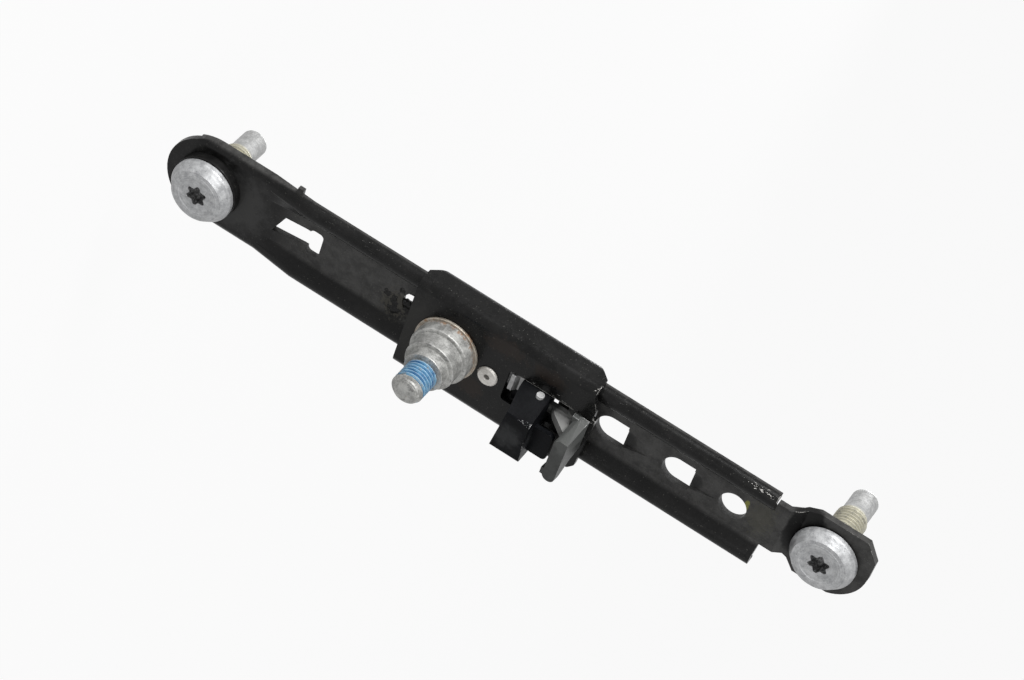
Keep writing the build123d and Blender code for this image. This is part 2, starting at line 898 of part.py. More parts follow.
def make_axle_clip():
    """The ring pressed on the axle's far end."""
    end = ear_outer + axle_clip_thickness
    ring = rod_along_x(axle_head_radius, axle_depth, axle_height, ear_outer, end)
    return ring - drill_along_x(axle_radius, axle_depth, axle_height, ear_outer, end)


pieces = {
    "rail": make_rail(),
    "lower_bolt": make_bolt(lower_seat, 0),
    "upper_bolt": make_bolt(upper_seat, bolt_pitch),
    "lower_spacer": make_washer(spacer_radius, lower_seat, spacer_thickness, 0),
    "upper_retainer": make_washer(retainer_radius, upper_seat, retainer_thickness, bolt_pitch),
    "slider_plate": make_slider(),
    "belt_stud": make_stud(),
    "stud_ring": make_stud_ring(),
    "hollow_rivet": make_rivet(),
    "lock_spring": make_spring(),
    "plunger_head": make_plunger(),
    "lock_pin": make_lock_pin(),
    "cross_pin": make_cross_pin(),
    "release_lever": make_lever(),
    "lever_axle": make_axle(),
    "axle_clip": make_axle_clip(),
    "left_glide": make_glide(-1),
    "right_glide": make_glide(1),
}

os.makedirs("parts", exist_ok=True)
for name, piece in pieces.items():
    export_step(piece, f"parts/{name}.step")
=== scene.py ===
"""Finishes, threads, rounded edges, camera and studio for the seat belt height adjuster."""

import logging
import math
from dataclasses import dataclass
from enum import Enum
from typing import Optional

import bmesh
import bpy
from mathutils import Matrix, Vector, noise


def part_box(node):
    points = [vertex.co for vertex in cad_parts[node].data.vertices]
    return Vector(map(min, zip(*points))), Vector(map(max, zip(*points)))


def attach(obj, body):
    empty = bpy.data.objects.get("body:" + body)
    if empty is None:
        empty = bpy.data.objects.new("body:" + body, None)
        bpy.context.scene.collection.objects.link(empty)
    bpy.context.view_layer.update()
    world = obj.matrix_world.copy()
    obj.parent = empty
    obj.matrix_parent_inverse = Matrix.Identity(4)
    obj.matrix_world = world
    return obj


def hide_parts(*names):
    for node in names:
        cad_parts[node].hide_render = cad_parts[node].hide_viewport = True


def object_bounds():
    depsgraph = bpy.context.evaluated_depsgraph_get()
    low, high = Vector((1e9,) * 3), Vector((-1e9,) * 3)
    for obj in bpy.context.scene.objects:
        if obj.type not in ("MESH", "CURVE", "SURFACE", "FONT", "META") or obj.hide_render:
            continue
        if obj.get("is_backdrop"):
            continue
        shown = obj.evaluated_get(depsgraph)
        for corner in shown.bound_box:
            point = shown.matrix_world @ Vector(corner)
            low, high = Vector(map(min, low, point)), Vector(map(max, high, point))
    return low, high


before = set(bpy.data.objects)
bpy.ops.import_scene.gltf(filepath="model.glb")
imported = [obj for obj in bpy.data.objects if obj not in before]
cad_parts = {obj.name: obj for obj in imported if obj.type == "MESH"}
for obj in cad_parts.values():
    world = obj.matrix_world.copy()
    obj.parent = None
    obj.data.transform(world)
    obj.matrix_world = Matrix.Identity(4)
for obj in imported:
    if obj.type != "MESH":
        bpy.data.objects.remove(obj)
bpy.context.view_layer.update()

MM = 0.001
ALONG_BOLT = (0.0, 1.0, 0.0)
EDGE_STRIPS = 2
EDGE_ROOM = 2.3  # rounding widths that an edge beside a rounded one has to be long
SHARP_ANGLE = math.radians(30.0)
FLAT_ANGLE = math.radians(0.4)
CAD_WELD = 0.002 * MM
POLE_WELD = 0.001 * MM
THREAD_WELD = 0.004 * MM
CORE_DEPTH = 0.65  # pitches from a thread's crest to the plain core
FLANK_DEPTH = 0.6  # pitches from a thread's crest to the foot of its flanks
TURNED_SMOOTH = 40.0  # degrees under which the faces of a turned piece blend

Colour = tuple[float, float, float, float]
Point = tuple[float, float, float]
Profile = list[tuple[float, float]]
Socket = bpy.types.NodeSocket
Sockets = bpy.types.bpy_prop_collection
BMesh = bmesh.types.BMesh

DUST = (0.12, 0.117, 0.105, 1.0)
BARE_STEEL = (0.46, 0.45, 0.43, 1.0)

log = logging.getLogger("height_adjuster")


class Facing(Enum):
    """The side that a cut end looks to."""

    CABIN = -1.0
    PILLAR = 1.0


class Effect(Enum):
    """The shared effects, by the names of their node groups."""

    EDGE = "edge_wear"
    SPOT = "spot"
    SPECKS = "specks"
    MOTTLE = "mottle"
    SCRATCHES = "scratches"
    RINGS = "turned_rings"


def grey(level: float) -> Colour:
    """A neutral colour of one linear level."""
    return (level, level, level, 1.0)


def tinted(level: float, tint: tuple[float, ...]) -> Colour:
    """A colour of one level and one tint."""
    return tuple(level * part for part in tint[:3]) + (1.0,)


def metres(place: Point) -> Point:
    """A place in millimetres as one in metres."""
    return tuple(part * MM for part in place)


@dataclass
class Nodes:
    """A node tree that is filled by short calls.

    Attributes:
        tree: The tree of a material, a world or a node group.
    """

    tree: bpy.types.NodeTree

    def add(self, kind: str, **settings: object) -> bpy.types.Node:
        """Adds a node.

        Args:
            kind: The node's type, such as ShaderNodeMath.
            **settings: Attributes of the node to set.

        Returns:
            The new node.
        """
        node = self.tree.nodes.new(kind)
        for name, value in settings.items():
            setattr(node, name, value)
        return node

    def feed(self, socket: Socket, value: object) -> None:
        """Links a socket to another one, or sets its value.

        Args:
            socket: The input to feed.
            value: An output socket, a number, a colour or a vector.
        """
        if isinstance(value, Socket):
            self.tree.links.new(value, socket)
        else:
            socket.default_value = value

    def math(self, operation: str, *values: object, clamp: bool = False) -> Socket:
        """Works out one number from others.

        Args:
            operation: The Math node's operation.
            *values: Its inputs, in order.
            clamp: Whether the result stays between 0 and 1.

        Returns:
            The result's socket.
        """
        node = self.add("ShaderNodeMath", operation=operation, use_clamp=clamp)
        for socket, value in zip(node.inputs, values):
            self.feed(socket, value)
        return node.outputs[0]

    def times(self, value: object, factor: object) -> Socket:
        """One number times another."""
        return self.math("MULTIPLY", value, factor)

    def line(self, value: object, slope: object, start: object) -> Socket:
        """A number times a slope, plus a start."""
        return self.math("MULTIPLY_ADD", value, slope, start)

    def vector(self, operation: str, *values: object) -> bpy.types.Node:
        """Works out a vector or its length.

        Args:
            operation: The Vector Math node's operation.
            *values: Its inputs, in order.

        Returns:
            The node.
        """
        node = self.add("ShaderNodeVectorMath", operation=operation)
        for socket, value in zip(node.inputs, values):
            self.feed(socket, value)
        return node

    def split(self, place: Socket) -> Sockets:
        """Takes a place apart.

        Args:
            place: The place's socket.

        Returns:
            The outputs for X, Y and Z.
        """
        node = self.add("ShaderNodeSeparateXYZ")
        self.feed(node.inputs[0], place)
        return node.outputs

    def ramp(self, value: object, low: object, high: object) -> Socket:
        """Spreads a value between two levels over 0 to 1, smoothly.

        Args:
            value: The value or its socket.
            low: The level that becomes 0.
            high: The level that becomes 1, which may be the lower one.

        Returns:
            The spread value's socket.
        """
        node = self.add("ShaderNodeMapRange", interpolation_type="SMOOTHSTEP")
        for name, given in (("Value", value), ("From Min", low), ("From Max", high)):
            self.feed(node.inputs[name], given)
        return node.outputs[0]

    def mix(self, share: object, under: object, over: object) -> Socket:
        """Blends two colours.

        Args:
            share: How much of the upper colour shows.
            under: The lower colour.
            over: The upper colour.

        Returns:
            The resulting colour's socket.
        """
        node = self.add("ShaderNodeMix", data_type="RGBA")
        self.feed(node.inputs["Factor"], share)
        self.feed(node.inputs[6], under)
        self.feed(node.inputs[7], over)
        return node.outputs[2]

    def lay(self, under: object, mask: Socket, strength: float, over: object) -> Socket:
        """Lays one colour over another where a mask says so, with a strength."""
        return self.mix(self.times(mask, strength), under, over)

    def noise(self, place: object, scale: object, detail: float = 3.0, rough: float = 0.55) -> Socket:
        """Adds a noise.

        Args:
            place: The coordinates' socket.
            scale: Waves in one metre.
            detail: How many finer layers it has.
            rough: How strong the finer layers are.

        Returns:
            The noise's value, about 0.5 on average.
        """
        node = self.add("ShaderNodeTexNoise")
        for name, value in (("Vector", place), ("Scale", scale), ("Detail", detail), ("Roughness", rough)):
            self.feed(node.inputs[name], value)
        return node.outputs[0]


class Effects:
    """The shared effects, each a node group that is built once."""

    def build(self) -> None:
        """Builds every group."""
        self._edge_wear()
        self._spot()
        self._specks()
        self._mottle()
        self._scratches()
        self._rings()

    @staticmethod
    def _start(effect: Effect, vectors: str, numbers: str, results: str) -> tuple[Nodes, Sockets, Sockets]:
        """Makes an empty group with its sockets.

        Args:
            effect: The effect that the group is for.
            vectors: The names of its vector inputs, with spaces between.
            numbers: The names of its number inputs.
            results: The names of its number outputs.

        Returns:
            A filler for the group, its inputs and its outputs.
        """
        tree = bpy.data.node_groups.new(effect.value, "ShaderNodeTree")
        for labels, way, kind in (
            (vectors, "INPUT", "NodeSocketVector"),
            (numbers, "INPUT", "NodeSocketFloat"),
            (results, "OUTPUT", "NodeSocketFloat"),
        ):
            for label in labels.split():
                tree.interface.new_socket(name=label, in_out=way, socket_type=kind)
        nodes = Nodes(tree)
        return nodes, nodes.add("NodeGroupInput").outputs, nodes.add("NodeGroupOutput").inputs

    def _edge_wear(self) -> None:
        """Marks edges by how far a rounded normal leaves the true one, broken up by noise."""
        nodes, given, result = self._start(Effect.EDGE, "Place", "Amount Scale", "Mask")
        rounded = nodes.add("ShaderNodeBevel", samples=6)
        rounded.inputs["Radius"].default_value = 0.45 * MM
        geometry = nodes.add("ShaderNodeNewGeometry")
        turned = nodes.vector("DOT_PRODUCT", rounded.outputs[0], geometry.outputs["Normal"])
        edge = nodes.ramp(nodes.math("SUBTRACT", 1.0, turned.outputs["Value"]), 0.02, 0.2)
        patches = nodes.noise(given["Place"], given["Scale"], detail=4.0, rough=0.7)
        low = nodes.math("SUBTRACT", 1.05, given["Amount"])
        broken = nodes.ramp(patches, low, nodes.math("ADD", low, 0.12))
        nodes.feed(result["Mask"], nodes.times(edge, broken))

    def _spot(self) -> None:
        """Marks a ragged spot about a point."""
        nodes, given, result = self._start(Effect.SPOT, "Place Centre Reach", "Ragged Scale Soft", "Mask")
        away = nodes.vector("SUBTRACT", given["Place"], given["Centre"])
        away = nodes.vector("DIVIDE", away.outputs[0], given["Reach"])
        distance = nodes.vector("LENGTH", away.outputs[0]).outputs["Value"]
        ragged = nodes.noise(given["Place"], given["Scale"], detail=5.0, rough=0.7)
        ragged = nodes.times(nodes.math("SUBTRACT", ragged, 0.5), given["Ragged"])
        inner = nodes.math("SUBTRACT", 1.0, given["Soft"])
        nodes.feed(result["Mask"], nodes.ramp(nodes.math("ADD", distance, ragged), 1.0, inner))

    def _specks(self) -> None:
        """Scatters small round specks of uneven size."""
        nodes, given, result = self._start(Effect.SPECKS, "Place", "Scale Amount", "Mask")
        cells = nodes.add("ShaderNodeTexVoronoi", feature="F1")
        nodes.feed(cells.inputs["Vector"], given["Place"])
        nodes.feed(cells.inputs["Scale"], given["Scale"])
        chance = nodes.add("ShaderNodeSeparateColor")
        nodes.feed(chance.inputs[0], cells.outputs["Color"])
        reach = nodes.ramp(chance.outputs[0], nodes.math("SUBTRACT", 1.0, given["Amount"]), 1.0)
        inside = nodes.math("SUBTRACT", nodes.times(reach, 0.42), cells.outputs["Distance"])
        nodes.feed(result["Mask"], nodes.ramp(inside, 0.0, 0.08))

    def _mottle(self) -> None:
        """Blotches of two sizes, as a value about 0.5."""
        nodes, given, result = self._start(Effect.MOTTLE, "Place", "Scale", "Value")
        broad = nodes.noise(given["Place"], given["Scale"], detail=4.0, rough=0.6)
        fine = nodes.noise(given["Place"], nodes.times(given["Scale"], 6.5), detail=2.0, rough=0.5)
        blend = nodes.math("ADD", nodes.times(broad, 0.65), nodes.times(fine, 0.35))
        nodes.feed(result["Value"], nodes.ramp(blend, 0.32, 0.68))

    def _scratches(self) -> None:
        """Thin lines along one stretched direction, in patches."""
        nodes, given, result = self._start(Effect.SCRATCHES, "Place Stretch", "Amount", "Mask")
        drawn = nodes.vector("MULTIPLY", given["Place"], given["Stretch"]).outputs[0]
        lines = nodes.noise(drawn, 1.0, detail=2.0, rough=0.5)
        patches = nodes.noise(given["Place"], 130.0, detail=2.0)
        low = nodes.math("SUBTRACT", 0.86, nodes.times(given["Amount"], patches))
        nodes.feed(result["Mask"], nodes.ramp(lines, low, nodes.math("ADD", low, 0.04)))

    def _rings(self) -> None:
        """Turned rings about an axis along Y at a height, and the distance from it."""
        nodes, given, result = self._start(Effect.RINGS, "Place", "Height Pitch", "Value Radius")
        parts = nodes.split(given["Place"])
        rise = nodes.math("SUBTRACT", parts[2], given["Height"])
        square = nodes.math("ADD", nodes.times(parts[0], parts[0]), nodes.times(rise, rise))
        radius = nodes.math("SQRT", square)
        wobble = nodes.times(nodes.noise(given["Place"], 260.0), 0.9)
        turns = nodes.times(nodes.math("DIVIDE", radius, given["Pitch"]), math.tau)
        wave = nodes.math("SINE", nodes.math("ADD", turns, wobble))
        nodes.feed(result["Value"], nodes.line(wave, 0.5, 0.5))
        nodes.feed(result["Radius"], radius)


@dataclass
class Surface(Nodes):
    """A material that is being finished.

    Attributes:
        shader: Its Principled shader.
        place: Its coordinates.
    """

    shader: bpy.types.Node
    place: Socket

    def effect(self, effect: Effect, **values: object) -> Sockets:
        """Places a shared effect.

        Args:
            effect: Which one.
            **values: Its inputs by name, apart from its place.

        Returns:
            The effect's outputs.
        """
        node = self.add("ShaderNodeGroup", node_tree=bpy.data.node_groups[effect.value])
        for name, value in dict(Place=self.place, **values).items():
            self.feed(node.inputs[name], value)
        return node.outputs

    def grain(self, scale: float, detail: float = 3.0, rough: float = 0.55) -> Socket:
        """A noise on the piece, with so many waves in one metre."""
        return self.noise(self.place, scale, detail, rough)

    def mottle(self, scale: float) -> Socket:
        """Blotches of two sizes."""
        return self.effect(Effect.MOTTLE, Scale=scale)[0]

    def specks(self, scale: float, amount: float) -> Socket:
        """Small round specks."""
        return self.effect(Effect.SPECKS, Scale=scale, Amount=amount)[0]

    def scratches(self, stretch: Point, amount: float) -> Socket:
        """Thin lines, drawn out by a stretch."""
        return self.effect(Effect.SCRATCHES, Stretch=stretch, Amount=amount)[0]

    def rings(self, height: float, pitch: float) -> Sockets:
        """Turned rings and the distance from their axis."""
        return self.effect(Effect.RINGS, Height=height, Pitch=pitch)

    def depth(self) -> Socket:
        """The place along Y, from the cabin to the pillar."""
        return self.split(self.place)[1]

    def stained(self, colour: Socket, rough: Socket, marks: tuple["Stain", ...]) -> tuple[Socket, Socket]:
        """Lays placed stains over a colour.

        Args:
            colour: The colour under them.
            rough: The roughness under them.
            marks: The stains, in order.

        Returns:
            The new colour and the new roughness.
        """
        for mark in marks:
            share = mark.mask(self)
            colour = self.mix(share, colour, mark.colour)
            clean = self.times(rough, self.math("SUBTRACT", 1.0, share))
            rough = self.math("ADD", clean, self.times(share, mark.rough))
        return colour, rough

    def worn(self, amount: float, scale: float, zones: tuple["Patch", ...]) -> Socket:
        """Marks bare edges, with more of them and chips of the face in some zones.

        Args:
            amount: How much of the edges is bare everywhere.
            scale: How fine the bare places are, in waves in one metre.
            zones: The zones with more wear.

        Returns:
            The mask of bare places.
        """
        if not zones:
            return self.effect(Effect.EDGE, Amount=amount, Scale=scale)[0]
        more = zones[0].mask(self)
        for zone in zones[1:]:
            more = self.math("MAXIMUM", more, zone.mask(self))
        edge = self.effect(Effect.EDGE, Amount=self.line(more, 0.5, amount), Scale=scale)[0]
        drawn = self.vector("MULTIPLY", self.place, (1.0, 1.0, 0.36)).outputs[0]
        grain = self.noise(drawn, 5.0 * scale, detail=4.0, rough=0.75)
        chips = self.ramp(self.line(more, 0.17, grain), 0.74, 0.78)
        return self.math("MAXIMUM", edge, self.times(chips, more))

    def cover(self, colour: Socket, rough: Socket, metal: object, relief: Socket, height: float) -> None:
        """Feeds the shader.

        Args:
            colour: Its colour.
            rough: Its roughness.
            metal: How metallic it is.
            relief: The relief's value.
            height: The relief's height, in metres.
        """
        bump = self.add("ShaderNodeBump")
        bump.inputs["Strength"].default_value = 1.0
        bump.inputs["Distance"].default_value = height
        self.feed(bump.inputs["Height"], relief)
        for name, value in (
            ("Base Color", colour), ("Roughness", rough), ("Metallic", metal), ("Normal", bump.outputs[0]),
        ):
            self.feed(self.shader.inputs[name], value)


@dataclass(frozen=True)
class Patch:
    """A ragged zone at a place on a piece, in millimetres.

    Attributes:
        centre: Its middle.
        reach: Its half sizes along X, Y and Z.
        strength: How much it shows.
        ragged: How uneven its rim is.
        scale: How fine its rim is, in waves in one metre.
        soft: The share of its reach over which it fades.
    """

    centre: Point
    reach: Point
    strength: float
    ragged: float
    scale: float
    soft: float

    def mask(self, on: Surface) -> Socket:
        """Adds the zone's mask.

        Args:
            on: The material.

        Returns:
            The mask, up to the zone's strength.
        """
        spot = on.effect(
            Effect.SPOT, Centre=metres(self.centre), Reach=metres(self.reach), Ragged=self.ragged,
            Scale=self.scale, Soft=self.soft,
        )
        return on.times(spot[0], self.strength)


@dataclass(frozen=True)
class Stain(Patch):
    """A zone of one colour.

    Attributes:
        colour: Its colour.
        rough: Its roughness.
    """

    colour: Colour
    rough: float = 0.6


@dataclass(frozen=True)
class Finish:
    """What every finish has.

    Attributes:
        name: The material's name.
    """

    name: str

    def make(self) -> bpy.types.Material:
        """Builds the material.

        Returns:
            The finished material.
        """
        material = bpy.data.materials.new(self.name)
        material.use_nodes = True
        tree = material.node_tree
        place = Nodes(tree).add("ShaderNodeTexCoord").outputs["Object"]
        self.dress(Surface(tree, tree.nodes["Principled BSDF"], place))
        return material

    def dress(self, on: Surface) -> None:
        """Feeds the shader; each finish has its own way."""
        raise NotImplementedError


@dataclass(frozen=True)
class DipCoat(Finish):
    """Black dip coating on pressed steel, dusty and worn.

    Attributes:
        level: How dark the coat is.
        rough: Its roughness.
        bare: How much of the edges is worn.
        dust: How many pale specks lie on it.
        lines: How strongly fine scratches show.
        sheen_depths: The depths, front and rear, over which a painted sheen comes in on the deeper faces, in
            millimetres.
        sheen_level: The painted sheen's colour level.
        stains: The placed stains.
        zones: The places with more wear, and chips.
        gloss: How strongly the coat reflects.
        varnish: How much clear film lies on it.
        varnish_rough: The film's roughness.
    """

    level: float
    rough: float = 0.42
    bare: float = 0.4
    dust: float = 0.12
    lines: float = 0.22
    sheen_depths: Optional[tuple[float, float]] = None
    sheen_level: float = 0.0
    stains: tuple[Stain, ...] = ()
    zones: tuple[Patch, ...] = ()
    gloss: float = 0.12
    varnish: float = 0.08
    varnish_rough: float = 0.16

    def dress(self, on: Surface) -> None:
        """Lays coat, painted sheen on the deeper faces, dust, scratches, stains and worn edges.

        Args:
            on: The material.
        """
        cloud = on.mottle(95.0)
        colour = on.mix(cloud, tinted(self.level, (0.6, 0.59, 0.6)), tinted(self.level, (1.5, 1.48, 1.45)))
        rough = on.line(cloud, 0.2, self.rough - 0.1)
        grain = on.grain(2700.0, detail=2.0)
        # Painted sheen: a pale broken film on the faces deeper than the given depths, so that the web reads
        # lighter than the flanges.
        if self.sheen_depths is not None:
            deep_face_sheen = on.ramp(on.depth(), self.sheen_depths[0] * MM, self.sheen_depths[1] * MM)
            film = on.ramp(on.grain(240.0, detail=5.0, rough=0.7), 0.3, 0.66)
            film = on.line(grain, 0.56, on.line(film, 0.62, 0.1))
            deep_face_sheen = on.math("MULTIPLY", deep_face_sheen, film, clamp=True)
            colour = on.mix(deep_face_sheen, colour, tinted(self.sheen_level, (1.0, 0.985, 0.96)))
            rough = on.line(deep_face_sheen, 0.12, rough)
        specks = on.specks(2300.0, self.dust)
        colour = on.lay(colour, specks, 0.3, DUST)
        colour = on.lay(colour, on.ramp(grain, 0.6, 0.74), 0.1, DUST)
        colour = on.lay(colour, on.scratches((3600.0, 3600.0, 260.0), 0.3), self.lines, grey(0.11))
        colour, rough = on.stained(colour, rough, self.stains)
        edge = on.worn(self.bare, 420.0, self.zones)
        colour = on.lay(colour, edge, 0.85, BARE_STEEL)
        peel = on.math("ADD", on.grain(900.0), grain)
        relief = on.line(edge, -0.8, on.math("ADD", peel, specks))
        on.cover(colour, on.line(edge, -0.05, rough), on.times(edge, 0.4), relief, 0.022 * MM)
        on.shader.inputs["Specular IOR Level"].default_value = self.gloss
        on.shader.inputs["Coat Weight"].default_value = self.varnish
        on.shader.inputs["Coat Roughness"].default_value = self.varnish_rough


@dataclass(frozen=True)
class ZincFlake(Finish):
    """Mottled zinc-flake grey on a mounting bolt, with places in metres.

    Attributes:
        height: The bolt axis's height.
        seat: The depth of the head's seat.
        mouth: The depth of the socket's mouth.
        socket: The socket's reach.
        tip: The depth where the bare tip starts.
        groove: The pitch of the tool marks on the tip.
    """

    height: float
    seat: float
    mouth: float
    socket: float
    tip: float
    groove: float = 0.85 * MM

    def dress(self, on: Surface) -> None:
        """Lays grey flake, turned rings, an olive shank, a paler tip and a socket darkened with dirt and
        painted shade.

        Args:
            on: The material.
        """
        blotch = on.mottle(520.0)
        colour = on.mix(blotch, (0.25, 0.254, 0.26, 1.0), (0.48, 0.485, 0.49, 1.0))
        ring, radius = on.rings(self.height, 0.75 * MM)
        colour = on.lay(colour, ring, 0.16, grey(0.2))
        colour = on.lay(colour, on.specks(1900.0, 0.3), 0.45, grey(0.12))
        depth = on.depth()
        shank = on.ramp(depth, self.seat, self.seat + 1.0 * MM)
        olive = on.mix(
            on.grain(330.0, detail=5.0, rough=0.7), (0.36, 0.34, 0.25, 1.0), (0.68, 0.66, 0.56, 1.0),
        )
        colour = on.lay(colour, shank, 0.9, olive)
        grime = on.ramp(on.grain(620.0, detail=4.0, rough=0.7), 0.52, 0.66)
        colour = on.lay(colour, on.times(grime, shank), 0.5, grey(0.16))
        bare = on.ramp(depth, self.tip - 0.4 * MM, self.tip + 0.6 * MM)
        marks = on.math("SINE", on.times(depth, math.tau / self.groove))
        pale = on.mix(blotch, (0.22, 0.225, 0.235, 1.0), (0.44, 0.445, 0.455, 1.0))
        pale = on.mix(on.line(marks, 0.13, 0.13), pale, grey(0.2))
        colour = on.lay(colour, bare, 0.88, pale)
        # Painted shade with dirt: the socket's inside is darkened as its recess would be shaded, with a crust
        # of residue.
        inside = on.ramp(radius, self.socket + 0.25 * MM, self.socket + 0.02 * MM)
        sunk = on.ramp(depth, self.mouth + 0.02 * MM, self.mouth + 0.3 * MM)
        dirt = on.times(on.times(inside, sunk), on.math("SUBTRACT", 1.0, shank))
        crust = on.ramp(on.grain(1300.0, detail=4.0, rough=0.7), 0.4, 0.66)
        colour = on.lay(colour, dirt, 0.94, on.mix(crust, grey(0.012), grey(0.16)))
        relief = on.line(on.times(marks, bare), 0.35, on.line(ring, 0.35, blotch))
        on.cover(colour, on.line(blotch, 0.15, 0.42), on.line(dirt, -0.55, 0.55), relief, 0.03 * MM)


@dataclass(frozen=True)
class TurnedSteel(Finish):
    """Turned steel with tool marks and a little dirt.

    Attributes:
        dark: Its darker blotches.
        light: Its lighter ground.
        height: The axis's height, in metres, for pieces turned about Y.
        ring: The pitch of the tool rings, in metres.
        rough: Its roughness.
        rust: How much of it is rusty.
        metal: How metallic it looks where it is clean.
    """

    dark: Colour
    light: Colour
    height: float = 0.0
    ring: float = 0.5 * MM
    rough: float = 0.38
    rust: float = 0.0
    metal: float = 0.8

    def dress(self, on: Surface) -> None:
        """Lays blotches, rings and rust.

        Args:
            on: The material.
        """
        blotch = on.mottle(300.0)
        ring = on.rings(self.height, self.ring)[0]
        colour = on.lay(on.mix(blotch, self.dark, self.light), ring, 0.1, grey(0.2))
        rough = on.line(blotch, 0.14, self.rough)
        metal = self.metal
        if self.rust > 0.0:
            less = 0.3 * self.rust
            share = on.ramp(on.grain(480.0, detail=5.0, rough=0.75), 0.66 - less, 0.8 - less)
            brown = on.mix(on.grain(1400.0), (0.13, 0.05, 0.018, 1.0), (0.3, 0.17, 0.08, 1.0))
            colour = on.mix(share, colour, brown)
            rough = on.line(share, 0.3, rough)
            metal = on.line(share, 0.05 - self.metal, self.metal)
        on.cover(colour, rough, metal, on.math("ADD", ring, blotch), 0.015 * MM)


@dataclass(frozen=True)
class StudSteel(Finish):
    """Plated steel of the belt stud, with places in metres.

    Attributes:
        height: The stud axis's height.
        foot: The depth of the stud's foot.
        patch_start: The depth where the blue locking patch starts at the collar.
        patch_end: The depth where it ends towards the tip.
        crest: The radius of the thread's crests.
    """

    height: float
    foot: float
    patch_start: float
    patch_end: float
    crest: float

    def dress(self, on: Surface) -> None:
        """Lays grey steel with scratches, rust near the foot and the torn blue patch.

        Args:
            on: The material.
        """
        blotch = on.mottle(360.0)
        colour = on.mix(blotch, (0.17, 0.17, 0.162, 1.0), (0.46, 0.46, 0.443, 1.0))
        ring, radius = on.rings(self.height, 0.4 * MM)
        colour = on.lay(colour, ring, 0.2, grey(0.12))
        colour = on.lay(colour, on.specks(1700.0, 0.3), 0.55, grey(0.1))
        colour = on.lay(colour, on.scratches((420.0, 2600.0, 420.0), 0.4), 0.6, grey(0.08))
        depth = on.depth()
        near_foot = on.ramp(depth, self.foot - 3.2 * MM, self.foot)
        patches = on.grain(520.0, detail=5.0, rough=0.75)
        rust = on.ramp(on.line(near_foot, 0.2, patches), 0.66, 0.78)
        colour = on.lay(colour, rust, 0.8, (0.17, 0.085, 0.035, 1.0))
        along = on.math("ADD", depth, on.times(on.math("SUBTRACT", patches, 0.5), 3.0 * MM))
        inner = on.ramp(along, self.patch_start + 0.2 * MM, self.patch_start - 0.5 * MM)
        outer = on.ramp(along, self.patch_end - 0.5 * MM, self.patch_end + 0.2 * MM)
        streak = on.vector("MULTIPLY", on.place, (260.0, 1500.0, 260.0)).outputs[0]
        torn = on.noise(streak, 1.0, detail=4.0, rough=0.65)
        patch = on.times(on.times(inner, outer), on.line(on.ramp(torn, 0.68, 0.56), 0.85, 0.15))
        blue = on.mix(on.ramp(torn, 0.36, 0.62), (0.012, 0.1, 0.24, 1.0), (0.13, 0.33, 0.5, 1.0))
        crest = on.ramp(radius, self.crest - 0.22 * MM, self.crest - 0.04 * MM)
        blue = on.lay(blue, crest, 0.4, (0.36, 0.47, 0.55, 1.0))
        colour = on.lay(colour, patch, 0.94, blue)
        keep = on.math("SUBTRACT", 1.0, on.math("MAXIMUM", patch, rust), clamp=True)
        relief = on.math("ADD", blotch, patch)
        on.cover(colour, on.line(blotch, 0.16, 0.43), on.times(keep, 0.45), relief, 0.03 * MM)


@dataclass(frozen=True)
class Moulding(Finish):
    """Moulded plastic with a fine grain and scuffed edges.

    Attributes:
        colour: The plastic's colour.
        scuff: The colour of its scuffs.
        wear: How much its edges are scuffed.
        rough: Its roughness.
        gloss: How strongly it reflects.
        stains: The placed areas of another colour, with rubbed areas and painted light among them.
        zones: The places with more scuffs, and chips.
    """

    colour: Colour
    scuff: Colour = grey(0.25)
    wear: float = 0.4
    rough: float = 0.38
    gloss: float = 0.25
    stains: tuple[Stain, ...] = ()
    zones: tuple[Patch, ...] = ()

    def dress(self, on: Surface) -> None:
        """Lays plastic, placed areas of rubbing and painted light, scuffs and nicks.

        Args:
            on: The material.
        """
        cloud = on.mottle(210.0)
        colour = on.mix(cloud, self.colour, tinted(1.6, self.colour))
        rough = on.line(cloud, 0.14, self.rough)
        colour, rough = on.stained(colour, rough, self.stains)
        colour = on.lay(colour, on.worn(self.wear, 700.0, self.zones), 0.85, self.scuff)
        nicks = on.ramp(on.grain(1900.0, detail=4.0, rough=0.7), 0.68, 0.78)
        colour = on.lay(colour, nicks, 0.2, self.scuff)
        on.cover(colour, rough, 0.0, on.grain(2600.0, detail=2.0), 0.02 * MM)
        on.shader.inputs["Specular IOR Level"].default_value = self.gloss


